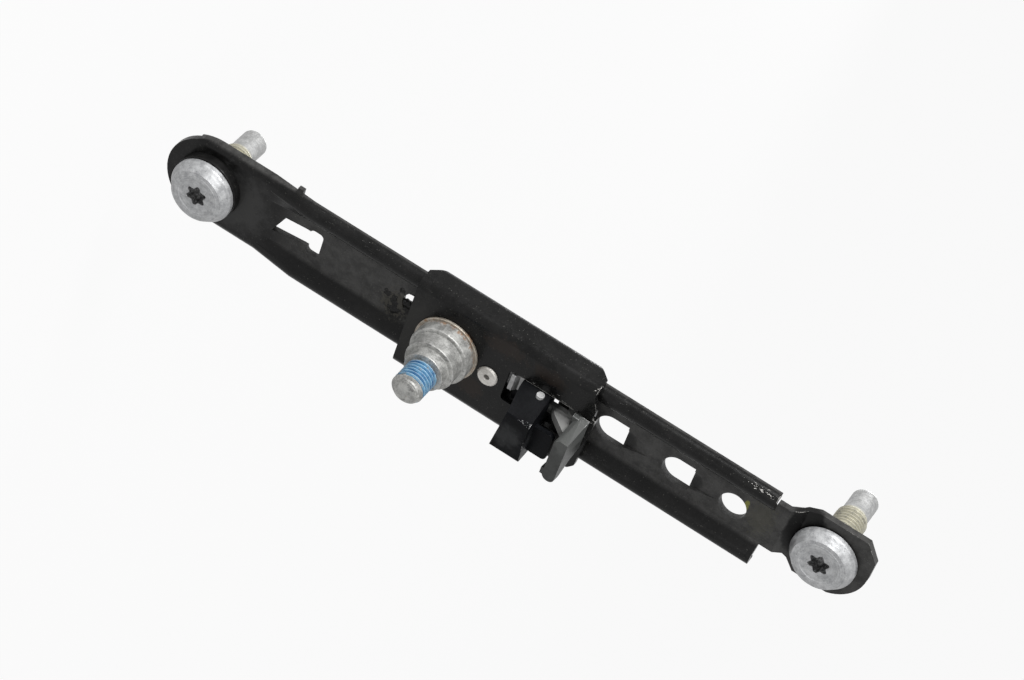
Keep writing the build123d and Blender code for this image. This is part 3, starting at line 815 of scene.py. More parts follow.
class Mesh:
    """Mesh work that every sub-assembly shares."""

    @staticmethod
    def merged(node: str) -> BMesh:
        """Copies a CAD node, with its doubles merged and its flat faces whole.

        Args:
            node: The node's name.

        Returns:
            The copy, ready for operators.
        """
        mesh = bmesh.new()
        mesh.from_mesh(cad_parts[node].data)
        bmesh.ops.remove_doubles(mesh, verts=mesh.verts, dist=CAD_WELD)
        bmesh.ops.dissolve_limit(
            mesh, angle_limit=FLAT_ANGLE, verts=mesh.verts, edges=mesh.edges, delimit={"NORMAL"},
        )
        return mesh

    @staticmethod
    def round_edges(mesh: BMesh, width: float) -> None:
        """Rounds the sharp edges that have room for it.

        Args:
            mesh: The mesh to work on.
            width: The rounding's width, in metres.
        """
        room = EDGE_ROOM * width
        picked = {
            edge for edge in mesh.edges if edge.is_manifold and edge.calc_face_angle(0.0) > SHARP_ANGLE
        }
        cramped = set()
        for vert in mesh.verts:
            joined = [edge for edge in vert.link_edges if edge in picked]
            beside = [edge for edge in vert.link_edges if edge not in picked or len(joined) > 2]
            if joined and any(edge.calc_length() < room for edge in beside):
                cramped.add(vert)
        bmesh.ops.bevel(
            mesh, geom=[edge for edge in picked if cramped.isdisjoint(edge.verts)], offset=width,
            offset_type="OFFSET", segments=EDGE_STRIPS, profile=0.5, affect="EDGES", clamp_overlap=True,
            material=-1,
        )

    @staticmethod
    def finish(mesh: BMesh, name: str, smooth: float = 48.0) -> bpy.types.Object:
        """Turns a mesh into a piece of the scene.

        Args:
            mesh: The finished mesh, in the frame's metres.
            name: The piece's name.
            smooth: The angle under which faces blend, in degrees.

        Returns:
            The new object, at the origin.
        """
        bmesh.ops.recalc_face_normals(mesh, faces=mesh.faces)
        data = bpy.data.meshes.new(name)
        mesh.to_mesh(data)
        mesh.free()
        data.shade_smooth()
        data.set_sharp_from_angle(angle=math.radians(smooth))
        piece = bpy.data.objects.new(name, data)
        bpy.context.scene.collection.objects.link(piece)
        weigh = piece.modifiers.new("Face weight", "WEIGHTED_NORMAL")
        weigh.keep_sharp = True
        return piece

    @staticmethod
    def joined(mesh: BMesh, extra: BMesh) -> None:
        """Adds one mesh's shells to another and frees it.

        Args:
            mesh: The mesh that grows.
            extra: The mesh that it takes in.
        """
        data = bpy.data.meshes.new("joined")
        extra.to_mesh(data)
        extra.free()
        mesh.from_mesh(data)
        bpy.data.meshes.remove(data)

    @staticmethod
    def turned(mesh: BMesh, profile: Profile, height: float, steps: int) -> None:
        """Turns a profile about an axis along Y.

        Args:
            mesh: The mesh that takes the new faces.
            profile: Points of radius and depth, in metres; a radius of 0 closes a pole.
            height: The axis's height.
            steps: How many facets go round.
        """
        points = [mesh.verts.new((radius, depth, height)) for radius, depth in profile]
        lines = [mesh.edges.new(pair) for pair in zip(points, points[1:])]
        bmesh.ops.spin(
            mesh, geom=points + lines, cent=(0.0, 0.0, height), axis=ALONG_BOLT, dvec=(0.0, 0.0, 0.0),
            angle=math.tau, steps=steps, use_merge=True, use_duplicate=False,
        )
        bmesh.ops.remove_doubles(mesh, verts=mesh.verts, dist=POLE_WELD)

    @staticmethod
    def thread(outer: float, pitch: float, start: float, end: float, height: float, steps: int) -> BMesh:
        """Cuts a thread's helical flanks, square at both ends and closed.

        Args:
            outer: The crest's radius.
            pitch: From crest to crest.
            start: The depth of one end.
            end: The depth of the other end.
            height: The axis's height.
            steps: How many facets go round one turn.

        Returns:
            The thread's mesh.
        """
        mesh = bmesh.new()
        root = outer - FLANK_DEPTH * pitch
        first = start - pitch
        shape = ((root, 0.0), (root, 0.12), (outer, 0.44), (outer, 0.56), (root, 0.88), (root, 1.0))
        points = [mesh.verts.new((radius, first + share * pitch, height)) for radius, share in shape]
        lines = [mesh.edges.new(pair) for pair in zip(points, points[1:])]
        turns = math.ceil((end - start) / pitch) + 2
        bmesh.ops.spin(
            mesh, geom=points + lines, cent=(0.0, 0.0, height), axis=ALONG_BOLT,
            dvec=(0.0, pitch / steps, 0.0), angle=math.tau * turns, steps=steps * turns,
            use_merge=False, use_duplicate=False,
        )
        bmesh.ops.remove_doubles(mesh, verts=mesh.verts, dist=THREAD_WELD)
        for depth, facing in ((start, Facing.CABIN), (end, Facing.PILLAR)):
            bmesh.ops.bisect_plane(
                mesh, geom=mesh.verts[:] + mesh.edges[:] + mesh.faces[:], plane_co=(0.0, depth, height),
                plane_no=(0.0, facing.value, 0.0), clear_outer=True, clear_inner=False,
            )
        bmesh.ops.remove_doubles(mesh, verts=mesh.verts, dist=THREAD_WELD)
        bmesh.ops.holes_fill(mesh, edges=[edge for edge in mesh.edges if edge.is_boundary], sides=0)
        return mesh

    @staticmethod
    def limit_radius(mesh: BMesh, height: float, start: float, end: float, low: float, high: float) -> None:
        """Draws vertices in to a cone between two depths.

        Args:
            mesh: The mesh to work on.
            height: The axis's height.
            start: The depth where the cone has its high radius.
            end: The depth where it has its low radius.
            low: The radius at the end.
            high: The radius at the start.
        """
        for vert in mesh.verts:
            share = (vert.co.y - start) / (end - start)
            allowed = high + (low - high) * min(share, 1.0)
            radius = math.hypot(vert.co.x, vert.co.z - height)
            if share >= 0.0 and radius > allowed:
                factor = allowed / radius
                vert.co.x *= factor
                vert.co.z = height + (vert.co.z - height) * factor


def seat(
    piece: bpy.types.Object, body: str, slot: str, material: bpy.types.Material, node: Optional[str] = None,
) -> None:
    """Gives a piece its finish, its body and the node that it stands for.

    Args:
        piece: The finished piece.
        body: The body that it rides on.
        slot: The record's material slot; not used.
        material: Its material.
        node: The CAD node that it replaces, if any.
    """
    piece.data.materials.clear()
    piece.data.materials.append(material)
    if node is not None:
        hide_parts(node)
    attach(piece, body)
    log.info("%s rides on %s, %d faces", piece.name, body, len(piece.data.polygons))


def mid_height(low: Vector, high: Vector) -> float:
    """The height of the middle of a box, where the axis of a round node runs."""
    return (low.z + high.z) / 2


@dataclass
class Dressed:
    """A CAD node whose edges are rounded and whose surface is finished.

    Attributes:
        node: The CAD node's name.
        body: The body that it rides on.
        slot: The record's material slot.
        finish: Its finish.
        edge: The width of its rounded edges, in metres.
    """

    node: str
    body: str
    slot: str
    finish: Finish
    edge: float

    def build(self) -> None:
        """Makes the piece and puts it in place of the node."""
        mesh = Mesh.merged(self.node)
        Mesh.round_edges(mesh, self.edge)
        piece = Mesh.finish(mesh, f"{self.node}_finished")
        seat(piece, self.body, self.slot, self.finish.make(), self.node)


@dataclass
class MountingBolt:
    """A shouldered bolt with a six-lobed socket, a stepped head and a cut thread.

    Attributes:
        node: The CAD node that it replaces.
        head_height: From the head's front to its seat.
        rim: The straight part of the head's side.
        top_radius: Where the head's slope starts.
        ledge: The step about the head's flat.
        dish_radius: The sunk middle's reach.
        dish_depth: How deep the middle is sunk.
        shoulder_radius: The plain shoulder under the head.
        shoulder_length: The shoulder's length.
        shank_radius: The thread's crest.
        tip_radius: The plain tip's radius.
        tip_length: The plain tip's length.
        tip_round: The tip's rounding.
        tip_strips: How many strips the rounding has.
        pitch: The thread's pitch.
        soft: The rounding of its turned corners.
        socket_outer: The lobes' reach.
        socket_inner: The reach between lobes.
        socket_depth: The socket's depth.
        lobes: How many lobes the socket has.
        steps: How many facets go round the bolt.
        thread_steps: How many facets go round one turn of the thread.
    """

    node: str
    head_height: float = 4.8 * MM
    rim: float = 2.0 * MM
    top_radius: float = 8.1 * MM
    ledge: float = 0.09 * MM
    dish_radius: float = 5.6 * MM
    dish_depth: float = 0.4 * MM
    shoulder_radius: float = 5.3 * MM
    shoulder_length: float = 6.3 * MM
    shank_radius: float = 5.0 * MM
    tip_radius: float = 4.2 * MM
    tip_length: float = 9.0 * MM
    tip_round: float = 1.2 * MM
    tip_strips: int = 6
    pitch: float = 1.25 * MM
    soft: float = 0.35 * MM
    socket_outer: float = 3.35 * MM
    socket_inner: float = 2.35 * MM
    socket_depth: float = 3.4 * MM
    lobes: int = 6
    steps: int = 72
    thread_steps: int = 36

    def build(self) -> None:
        """Turns the bolt, sinks its socket, cuts its thread and seats it."""
        low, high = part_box(self.node)
        height = mid_height(low, high)
        mouth, tip = low.y, high.y
        seat_depth = mouth + self.head_height
        floor = mouth + self.dish_depth
        thread_start = seat_depth + self.shoulder_length
        thread_end = tip - self.tip_length
        root = self.shank_radius - CORE_DEPTH * self.pitch
        profile = self._head((high.x - low.x) / 2, mouth, seat_depth)
        profile += [
            (self.shoulder_radius, seat_depth),
            (self.shoulder_radius, thread_start - self.soft),
            (self.shoulder_radius - self.soft, thread_start),
            (root, thread_start),
            (root, thread_end),
            (self.tip_radius, thread_end + 0.4 * MM),
            (self.tip_radius, tip - self.tip_round),
        ]
        for step in range(1, self.tip_strips):
            angle = math.pi / 2 * step / self.tip_strips
            profile.append((
                self.tip_radius - self.tip_round * (1.0 - math.cos(angle)),
                tip - self.tip_round * (1.0 - math.sin(angle)),
            ))
        profile += [(self.tip_radius - self.tip_round, tip), (0.0, tip)]
        mesh = bmesh.new()
        Mesh.turned(mesh, profile, height, self.steps)
        self._socket(mesh, height, floor)
        thread = Mesh.thread(
            self.shank_radius, self.pitch, thread_start - self.soft, thread_end, height, self.thread_steps,
        )
        Mesh.limit_radius(
            thread, height, thread_end - self.pitch, thread_end, root + 0.1 * MM, self.shank_radius,
        )
        Mesh.joined(mesh, thread)
        piece = Mesh.finish(mesh, f"{self.node}_finished", smooth=TURNED_SMOOTH)
        finish = ZincFlake(
            f"{self.node}_zinc_flake", height=height, seat=seat_depth, mouth=floor,
            socket=self.socket_outer, tip=thread_end,
        )
        seat(piece, "root", "bolt_steel", finish.make(), self.node)

    def _head(self, radius: float, mouth: float, seat_depth: float) -> Profile:
        """Draws the head's profile.

        Args:
            radius: The head's radius.
            mouth: The depth of its front.
            seat_depth: The depth of its seat.

        Returns:
            Points of radius and depth, from the dish to the seat.
        """
        return [
            (self.dish_radius, mouth + self.dish_depth),
            (self.dish_radius + self.dish_depth, mouth + 0.1 * MM),
            (self.dish_radius + 1.6 * self.dish_depth, mouth),
            (self.top_radius - 0.9 * MM, mouth),
            (self.top_radius - 0.8 * MM, mouth + self.ledge),
            (self.top_radius, mouth + self.ledge + 0.1 * MM),
            (self.top_radius + self.soft, mouth + 0.7 * self.soft),
            (radius - self.soft, seat_depth - self.rim - 0.5 * self.soft),
            (radius - 0.3 * self.soft, seat_depth - self.rim + 0.3 * self.soft),
            (radius, seat_depth - self.rim + 1.4 * self.soft),
            (radius, seat_depth - self.soft),
            (radius - self.soft, seat_depth),
        ]

    def _socket(self, mesh: BMesh, height: float, floor: float) -> None:
        """Sinks the lobed socket into the head's middle.

        Args:
            mesh: The bolt's mesh, open at the dish's rim.
            height: The axis's height.
            floor: The depth of the dish.
        """
        loops = [[edge for edge in mesh.edges if edge.is_boundary]]
        depths = (0.06 * MM, 0.25 * MM, 0.8 * self.socket_depth, self.socket_depth)
        for depth, share in zip(depths, (1.06, 1.0, 0.95, 0.8)):
            loops.append(self._lobed_loop(mesh, height, floor + depth, share))
        for before, after in zip(loops, loops[1:]):
            bmesh.ops.bridge_loops(mesh, edges=before + after)
        bottom = bmesh.ops.contextual_create(mesh, geom=loops[-1])
        bmesh.ops.poke(mesh, faces=bottom["faces"], offset=0.0)

    def _lobed_loop(
        self, mesh: BMesh, height: float, depth: float, share: float,
    ) -> list[bmesh.types.BMEdge]:
        """Draws the socket's outline at a depth.

        Args:
            mesh: The mesh that takes the loop.
            height: The axis's height.
            depth: The loop's depth.
            share: Its size against the socket's mouth.

        Returns:
            The loop's edges.
        """
        turn = Matrix.Translation((0.0, depth, height)) @ Matrix.Rotation(math.pi / 2, 4, "X")
        ring = bmesh.ops.create_circle(mesh, cap_ends=False, segments=self.steps, radius=1.0, matrix=turn)
        mean = (self.socket_outer + self.socket_inner) / 2
        swing = (self.socket_outer - self.socket_inner) / 2
        for vert in ring["verts"]:
            angle = math.atan2(vert.co.z - height, vert.co.x)
            reach = share * (mean + swing * math.cos(self.lobes * angle))
            vert.co.x *= reach
            vert.co.z = height + (vert.co.z - height) * reach
        return list({edge for vert in ring["verts"] for edge in vert.link_edges})


@dataclass
class BeltStud:
    """The stepped stud that carries the belt's turning loop.

    Attributes:
        node: The CAD node that it replaces.
        base_radius: The widest step's radius.
        base_length: Its length.
        mid_radius: The next step's radius.
        mid_length: Its length.
        collar_radius: The collar's radius.
        collar_length: Its length.
        thread_radius: The thread's crest.
        tenon_radius: The part in the slider plate.
        tail_radius: The riveted tail's radius.
        tail_thickness: Its thickness.
        tip_chamfer: The chamfer at the free end.
        pitch: The thread's pitch.
        soft: The rounding of its steps.
        patch_length: How far the blue patch reaches along the thread.
        steps: How many facets go round the stud.
        thread_steps: How many facets go round one turn of the thread.
    """

    node: str = "belt_stud"
    base_radius: float = 9.6 * MM
    base_length: float = 4.2 * MM
    mid_radius: float = 8.1 * MM
    mid_length: float = 5.0 * MM
    collar_radius: float = 6.4 * MM
    collar_length: float = 3.4 * MM
    thread_radius: float = 5.0 * MM
    tenon_radius: float = 5.5 * MM
    tail_radius: float = 6.8 * MM
    tail_thickness: float = 1.1 * MM
    tip_chamfer: float = 1.3 * MM
    pitch: float = 1.25 * MM
    soft: float = 0.5 * MM
    patch_length: float = 7.6 * MM
    steps: int = 72
    thread_steps: int = 40

    def build(self) -> None:
        """Turns the stud, cuts its thread and seats it."""
        low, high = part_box(self.node)
        height = mid_height(low, high)
        tip, tail = low.y, high.y
        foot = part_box("stud_ring")[0].y
        mid = foot - self.base_length
        collar = mid - self.mid_length
        thread_start = collar - self.collar_length
        root = self.thread_radius - CORE_DEPTH * self.pitch
        narrow = self.thread_radius - self.tip_chamfer
        soft = self.soft
        profile = [
            (0.0, tip),
            (narrow - 0.2 * MM, tip),
            (narrow, tip + 0.15 * MM),
            (root, tip + self.tip_chamfer),
            (root, thread_start),
        ]
        for radius, front, back in (
            (self.collar_radius, thread_start, collar),
            (self.mid_radius, collar, mid),
        ):
            profile += [
                (radius - soft, front),
                (radius - 0.3 * soft, front + 0.3 * soft),
                (radius, front + soft),
                (radius, back - 0.5 * soft),
                (radius + 0.5 * soft, back),
            ]
        profile += [
            (self.base_radius - 1.3 * soft, mid),
            (self.base_radius - 0.4 * soft, mid + 0.4 * soft),
            (self.base_radius, mid + 1.3 * soft),
            (self.base_radius, foot),
            (self.tenon_radius, foot),
            (self.tenon_radius, tail - self.tail_thickness),
            (self.tail_radius, tail - self.tail_thickness),
            (self.tail_radius, tail - 0.4 * MM),
            (self.tail_radius - 0.4 * MM, tail),
            (0.0, tail),
        ]
        mesh = bmesh.new()
        Mesh.turned(mesh, profile, height, self.steps)
        thread = Mesh.thread(
            self.thread_radius, self.pitch, tip + 0.3 * MM, thread_start + 0.2 * MM, height,
            self.thread_steps,
        )
        Mesh.limit_radius(thread, height, tip + self.tip_chamfer, tip, narrow, self.thread_radius)
        Mesh.joined(mesh, thread)
        piece = Mesh.finish(mesh, f"{self.node}_finished", smooth=TURNED_SMOOTH)
        finish = StudSteel(
            "stud_plating", height=height, foot=foot, patch_start=thread_start - 0.2 * MM,
            patch_end=thread_start - self.patch_length, crest=self.thread_radius,
        )
        seat(piece, "slider", "stud_steel", finish.make(), self.node)


@dataclass
class OldGrease:
    """Dried grease in and about the lowest lock hole.

    Attributes:
        lumps: The middle and the half sizes of each lump, in millimetres.
        swell: How far the surface swells and sinks, in millimetres.
        waves: How many swellings there are in one millimetre.
    """

    lumps: tuple[tuple[Point, Point], ...] = (
        ((1.2, 0.5, 68.7), (1.3, 0.9, 2.8)),
        ((4.2, 0.4, 69.4), (1.9, 0.9, 3.4)),
        ((5.4, -0.2, 65.4), (2.1, 0.45, 2.2)),
        ((2.2, -0.2, 64.7), (2.2, 0.4, 1.7)),
        ((-2.8, -0.1, 65.9), (1.5, 0.4, 1.5)),
        ((-3.9, 0.5, 69.2), (0.9, 0.8, 1.8)),
        ((0.6, -0.2, 62.0), (1.3, 0.35, 1.6)),
    )
    swell: float = 0.32
    waves: float = 1.3

    def build(self) -> None:
        """Shapes the lumps and lays them on the rail."""
        mesh = bmesh.new()
        for centre, reach in self.lumps:
            place = Matrix.Translation(Vector(centre) * MM) @ Matrix.Diagonal(metres(reach) + (1.0,))
            bmesh.ops.create_icosphere(mesh, subdivisions=4, radius=1.0, matrix=place)
        mesh.normal_update()
        for vert in mesh.verts:
            vert.co += vert.normal * noise.fractal(vert.co / MM * self.waves, 1.0, 2.0, 3) * self.swell * MM
        finish = DipCoat("grease_crust", level=0.007, rough=0.5, bare=0.2, dust=0.35)
        seat(Mesh.finish(mesh, "old_grease"), "root", "rail_coating", finish.make())


@dataclass
class Rail:
    """The rail with its bolts, spacer, retaining ring and old grease, in millimetres.

    Attributes:
        first_hole: The lowest lock hole's height.
        hole_pitch: From lock hole to lock hole.
        hole_count: How many lock holes there are.
        hole_reach: How far a lock hole's sheared wall lies from its middle.
        locating_hole: The locating hole's height.
        locating_reach: How far its sheared wall lies from its middle.
        dimple_rise: From a lock hole's middle to its dimple's.
    """

    first_hole: float = 71.5
    hole_pitch: float = 22.3
    hole_count: int = 5
    hole_reach: float = 4.85
    locating_hole: float = 179.6
    locating_reach: float = 4.7
    dimple_rise: float = 6.6

    def build(self) -> None:
        """Builds the rail's pieces in order."""
        # The coat's pale film between these depths is painted sheen on the web and the other deeper faces.
        coat = DipCoat(
            "rail_dip_coat", level=0.004, rough=0.32, sheen_depths=(-1.6, -0.5), sheen_level=0.048,
            stains=self._stains(), zones=self._zones(),
        )
        Dressed("rail", "root", "rail_coating", coat, edge=0.18 * MM).build()
        for node in ("lower_bolt", "upper_bolt"):
            MountingBolt(node).build()
        washer = DipCoat("washer_black", level=0.006, bare=0.3, dust=0.06)
        Dressed("lower_spacer", "root", "washer_steel", washer, edge=0.3 * MM).build()
        ring = DipCoat("retainer_black", level=0.006, bare=0.25, dust=0.06)
        Dressed("upper_retainer", "root", "washer_steel", ring, edge=0.1 * MM).build()
        OldGrease().build()

    def _stains(self) -> tuple[Stain, ...]:
        """Places the sheared hole walls, painted shade on the ramps beside the lock holes, grease, yellow
        paint, grime, and painted shade with grime at the neck.

        Returns:
            The stains, in the order in which they are laid.
        """
        lock_holes = [self.first_hole + self.hole_pitch * step for step in range(self.hole_count)]
        holes = [(height, self.hole_reach) for height in lock_holes]
        holes.append((self.locating_hole, self.locating_reach))
        sheared = tuple(
            Stain((0.0, 0.6, height), (reach, 9.0, reach), 0.7, 0.5, 900.0, 0.08, grey(0.075), 0.5)
            for height, reach in holes
        )
        # Painted shade: dark stains on the ramps beside each lock hole, where they fall in shadow.
        dimple_shade = tuple(
            Stain(
                (0.6, 0.4, height + self.dimple_rise), (3.9, 1.7, 3.0), 0.75, 0.9, 500.0, 0.6,
                grey(0.003), 0.45,
            )
            for height in lock_holes
        )
        return sheared + dimple_shade + (
            Stain((3.6, 0.0, 66.5), (6.0, 3.2, 6.0), 0.92, 1.8, 700.0, 0.3, (0.004, 0.004, 0.0035, 1.0), 0.3),
            Stain((3.0, 0.0, 65.5), (5.0, 3.0, 4.5), 0.5, 4.4, 1500.0, 0.2, (0.06, 0.056, 0.045, 1.0), 0.5),
            Stain((-2.0, 0.0, 188.4), (7.0, 2.6, 4.2), 0.34, 4.0, 1700.0, 0.2, (0.066, 0.063, 0.045, 1.0)),
            Stain((-2.8, 0.0, 183.2), (2.6, 2.6, 1.0), 0.8, 1.6, 1200.0, 0.4, (0.2, 0.2, 0.05, 1.0)),
            Stain((0.0, -2.0, 6.0), (13.0, 1.6, 20.0), 0.85, 1.2, 300.0, 0.5, grey(0.03), 0.45),
            # Painted shade with grime: the set-back face at the neck beside the upper bolt's head is made
            # near black, as if shaded.
            Stain((-4.0, 2.0, 200.4), (12.0, 5.0, 6.3), 0.92, 0.4, 300.0, 0.2, grey(0.001), 0.62),
            Stain((0.0, -4.0, 12.0), (14.0, 8.0, 12.0), 0.25, 1.5, 260.0, 0.7, (0.03, 0.03, 0.028, 1.0)),
        )

    def _zones(self) -> tuple[Patch, ...]:
        """Places the chipped lips and the rubbed neck and upper eye."""
        return (
            Patch((-15.0, -3.4, 187.0), (2.2, 1.9, 12.0), 1.0, 1.1, 500.0, 0.5),
            Patch((-14.6, -3.2, 55.0), (1.6, 1.8, 4.6), 0.8, 1.1, 500.0, 0.6),
            Patch((5.5, -3.6, 192.5), (3.0, 2.0, 1.8), 0.9, 0.7, 600.0, 0.5),
            Patch((-9.0, 2.0, 197.5), (7.0, 3.0, 2.5), 0.5, 0.9, 600.0, 0.6),
            Patch((-7.0, 3.5, 213.0), (14.0, 3.0, 13.0), 0.25, 1.2, 400.0, 0.6),
        )


@dataclass
class Slider:
    """The slider plate with its stud, rivet, spring, glides and axle.

    Attributes:
        rubbed: The colour of the rubbed brown areas.
    """

    rubbed: Colour = (0.035, 0.02, 0.012, 1.0)

    def build(self) -> None:
        """Builds the slider's pieces in order."""
        coat = DipCoat(
            "slider_dip_coat", level=0.0035, rough=0.3, bare=0.34, dust=0.1, lines=0.16,
            stains=self._stains(), zones=self._zones(),
        )
        Dressed("slider_plate", "slider", "slider_coating", coat, edge=0.2 * MM).build()
        BeltStud().build()
        rusty = TurnedSteel(
            "ring_rust", (0.2, 0.17, 0.135, 1.0), (0.46, 0.42, 0.36, 1.0), mid_height(*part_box("belt_stud")),
            rust=0.45, metal=0.5,
        )
        Dressed("stud_ring", "slider", "ring_steel", rusty, edge=0.2 * MM).build()
        pale = TurnedSteel(
            "rivet_plating", (0.36, 0.345, 0.32, 1.0), (0.62, 0.6, 0.57, 1.0),
            mid_height(*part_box("hollow_rivet")), ring=0.4 * MM, metal=0.5,
        )
        Dressed("hollow_rivet", "slider", "rivet_steel", pale, edge=0.12 * MM).build()
        leaf = TurnedSteel("spring_leaf", grey(0.19), grey(0.42), ring=9.0 * MM, rough=0.4, metal=0.5)
        Dressed("lock_spring", "slider", "spring_steel", leaf, edge=0.1 * MM).build()
        for node in ("left_glide", "right_glide"):
            glide = Moulding(f"{node}_plastic", grey(0.02), rough=0.45)
            Dressed(node, "slider", "glide_plastic", glide, edge=0.15 * MM).build()
        for node in ("lever_axle", "axle_clip"):
            steel = TurnedSteel(f"{node}_steel", grey(0.3), grey(0.6), ring=0.4 * MM)
            Dressed(node, "slider", "pin_steel", steel, edge=0.1 * MM).build()

    def _stains(self) -> tuple[Stain, ...]:
        """Places the rubbed brown areas and the dust at the lower end."""
        return (
            Stain((-12.5, -7.5, 103.0), (4.0, 3.0, 8.0), 0.22, 1.8, 420.0, 0.5, self.rubbed, 0.5),
            Stain((-12.0, -7.5, 118.0), (3.2, 3.0, 7.0), 0.2, 1.8, 420.0, 0.5, self.rubbed, 0.5),
            Stain((8.0, -7.5, 97.0), (5.0, 3.0, 5.0), 0.25, 1.8, 420.0, 0.5, self.rubbed, 0.5),
            Stain((0.0, -7.5, 76.0), (16.0, 3.0, 7.0), 0.3, 1.6, 300.0, 0.6, (0.03, 0.029, 0.026, 1.0)),
        )

    def _zones(self) -> tuple[Patch, ...]:
        """Places the worn window side, the chipped upper end and corner, and the worn bend."""
        return (
            Patch((-6.3, -7.5, 119.0), (0.9, 1.2, 13.0), 0.8, 0.6, 500.0, 0.4),
            Patch((-8.4, -7.6, 123.0), (1.2, 1.0, 4.0), 0.62, 1.2, 800.0, 0.5),
            Patch((-6.4, -7.6, 133.6), (3.4, 1.0, 2.6), 0.66, 0.9, 800.0, 0.5),
            Patch((-16.8, -6.6, 132.4), (1.8, 2.6, 1.6), 1.0, 0.5, 600.0, 0.5),
            Patch((-10.5, -7.0, 133.8), (7.0, 1.4, 1.6), 0.6, 0.7, 700.0, 0.5),
            Patch((-13.5, -7.2, 96.0), (2.0, 1.2, 12.0), 0.45, 1.2, 500.0, 0.6),
            Patch((-17.0, -7.0, 78.0), (2.6, 1.6, 8.0), 0.4, 1.0, 500.0, 0.6),
        )


@dataclass
class Plunger:
    """The black block with its lock pin and cross pin.

    Attributes:
        block_edge: The width of the block's rounded edges.
        pin_edge: The width of the pins' rounded edges.
    """

    block_edge: float = 0.3 * MM
    pin_edge: float = 0.15 * MM

    def build(self) -> None:
        """Builds the plunger's pieces in order."""
        thumb = Stain(
            (7.0, -15.5, 116.0), (7.5, 4.6, 6.5), 0.8, 0.9, 300.0, 0.5, (0.036, 0.037, 0.038, 1.0), 0.5,
        )
        crests = (
            Patch((-1.4, -18.0, 119.8), (1.3, 1.3, 4.2), 1.0, 0.7, 700.0, 0.5),
            Patch((6.0, -18.0, 120.6), (7.0, 1.6, 0.9), 0.45, 0.9, 700.0, 0.5),
        )
        block = Moulding(
            "plunger_plastic", (0.0031, 0.0033, 0.0039, 1.0), scuff=grey(0.5), wear=0.3, rough=0.3,
            gloss=0.05, stains=(thumb,), zones=crests,
        )
        Dressed("plunger_head", "plunger", "plunger_plastic", block, self.block_edge).build()
        for node in ("lock_pin", "cross_pin"):
            steel = TurnedSteel(f"{node}_steel", grey(0.3), grey(0.47), ring=0.4 * MM, rough=0.42, metal=0.2)
            Dressed(node, "plunger", "pin_steel", steel, self.pin_edge).build()


@dataclass
class Lever:
    """The release lever.

    Attributes:
        edge: The width of its rounded edges.
    """

    edge: float = 0.25 * MM

    def build(self) -> None:
        """Builds the lever."""
        # The first stain is painted light on the gusset's lit face; the second makes the arm a lighter grey.
        rubbed = (
            Stain((-0.2, -8.0, 126.5), (2.6, 12.0, 4.6), 0.9, 0.5, 500.0, 0.3, (0.19, 0.19, 0.185, 1.0), 0.6),
            Stain(
                (-2.6, -10.0, 131.6), (6.4, 14.0, 3.6), 0.7, 0.5, 500.0, 0.3, (0.083, 0.086, 0.083, 1.0), 0.5,
            ),
        )
        edges = (
            Patch((-5.6, -8.0, 131.6), (1.0, 10.0, 4.0), 0.7, 0.6, 600.0, 0.4),
            Patch((12.6, -8.0, 131.6), (2.0, 8.0, 4.0), 0.6, 0.6, 600.0, 0.4),
        )
        moulding = Moulding(
            "lever_plastic", (0.03, 0.031, 0.03, 1.0), scuff=grey(0.45), wear=0.36, rough=0.34, gloss=0.2,
            stains=rubbed, zones=edges,
        )
        Dressed("release_lever", "lever", "lever_plastic", moulding, self.edge).build()


@dataclass(frozen=True)
class Lamp:
    """A soft round lamp.

    Attributes:
        name: Its name.
        place: Where it hangs, in metres.
        size: Its width, in metres.
        power: Its power, in watts.
    """

    name: str
    place: Point
    size: float
    power: float

    def hang(self, aim: Vector) -> None:
        """Hangs the lamp, out of the camera's sight.

        Args:
            aim: The place that it looks at.
        """
        data = bpy.data.lights.new(self.name, "AREA")
        data.shape = "DISK"
        data.size = self.size
        data.energy = self.power
        lamp = bpy.data.objects.new(self.name, data)
        lamp.location = self.place
        lamp.rotation_euler = (aim - lamp.location).to_track_quat("-Z", "Y").to_euler()
        lamp.visible_camera = False
        bpy.context.scene.collection.objects.link(lamp)


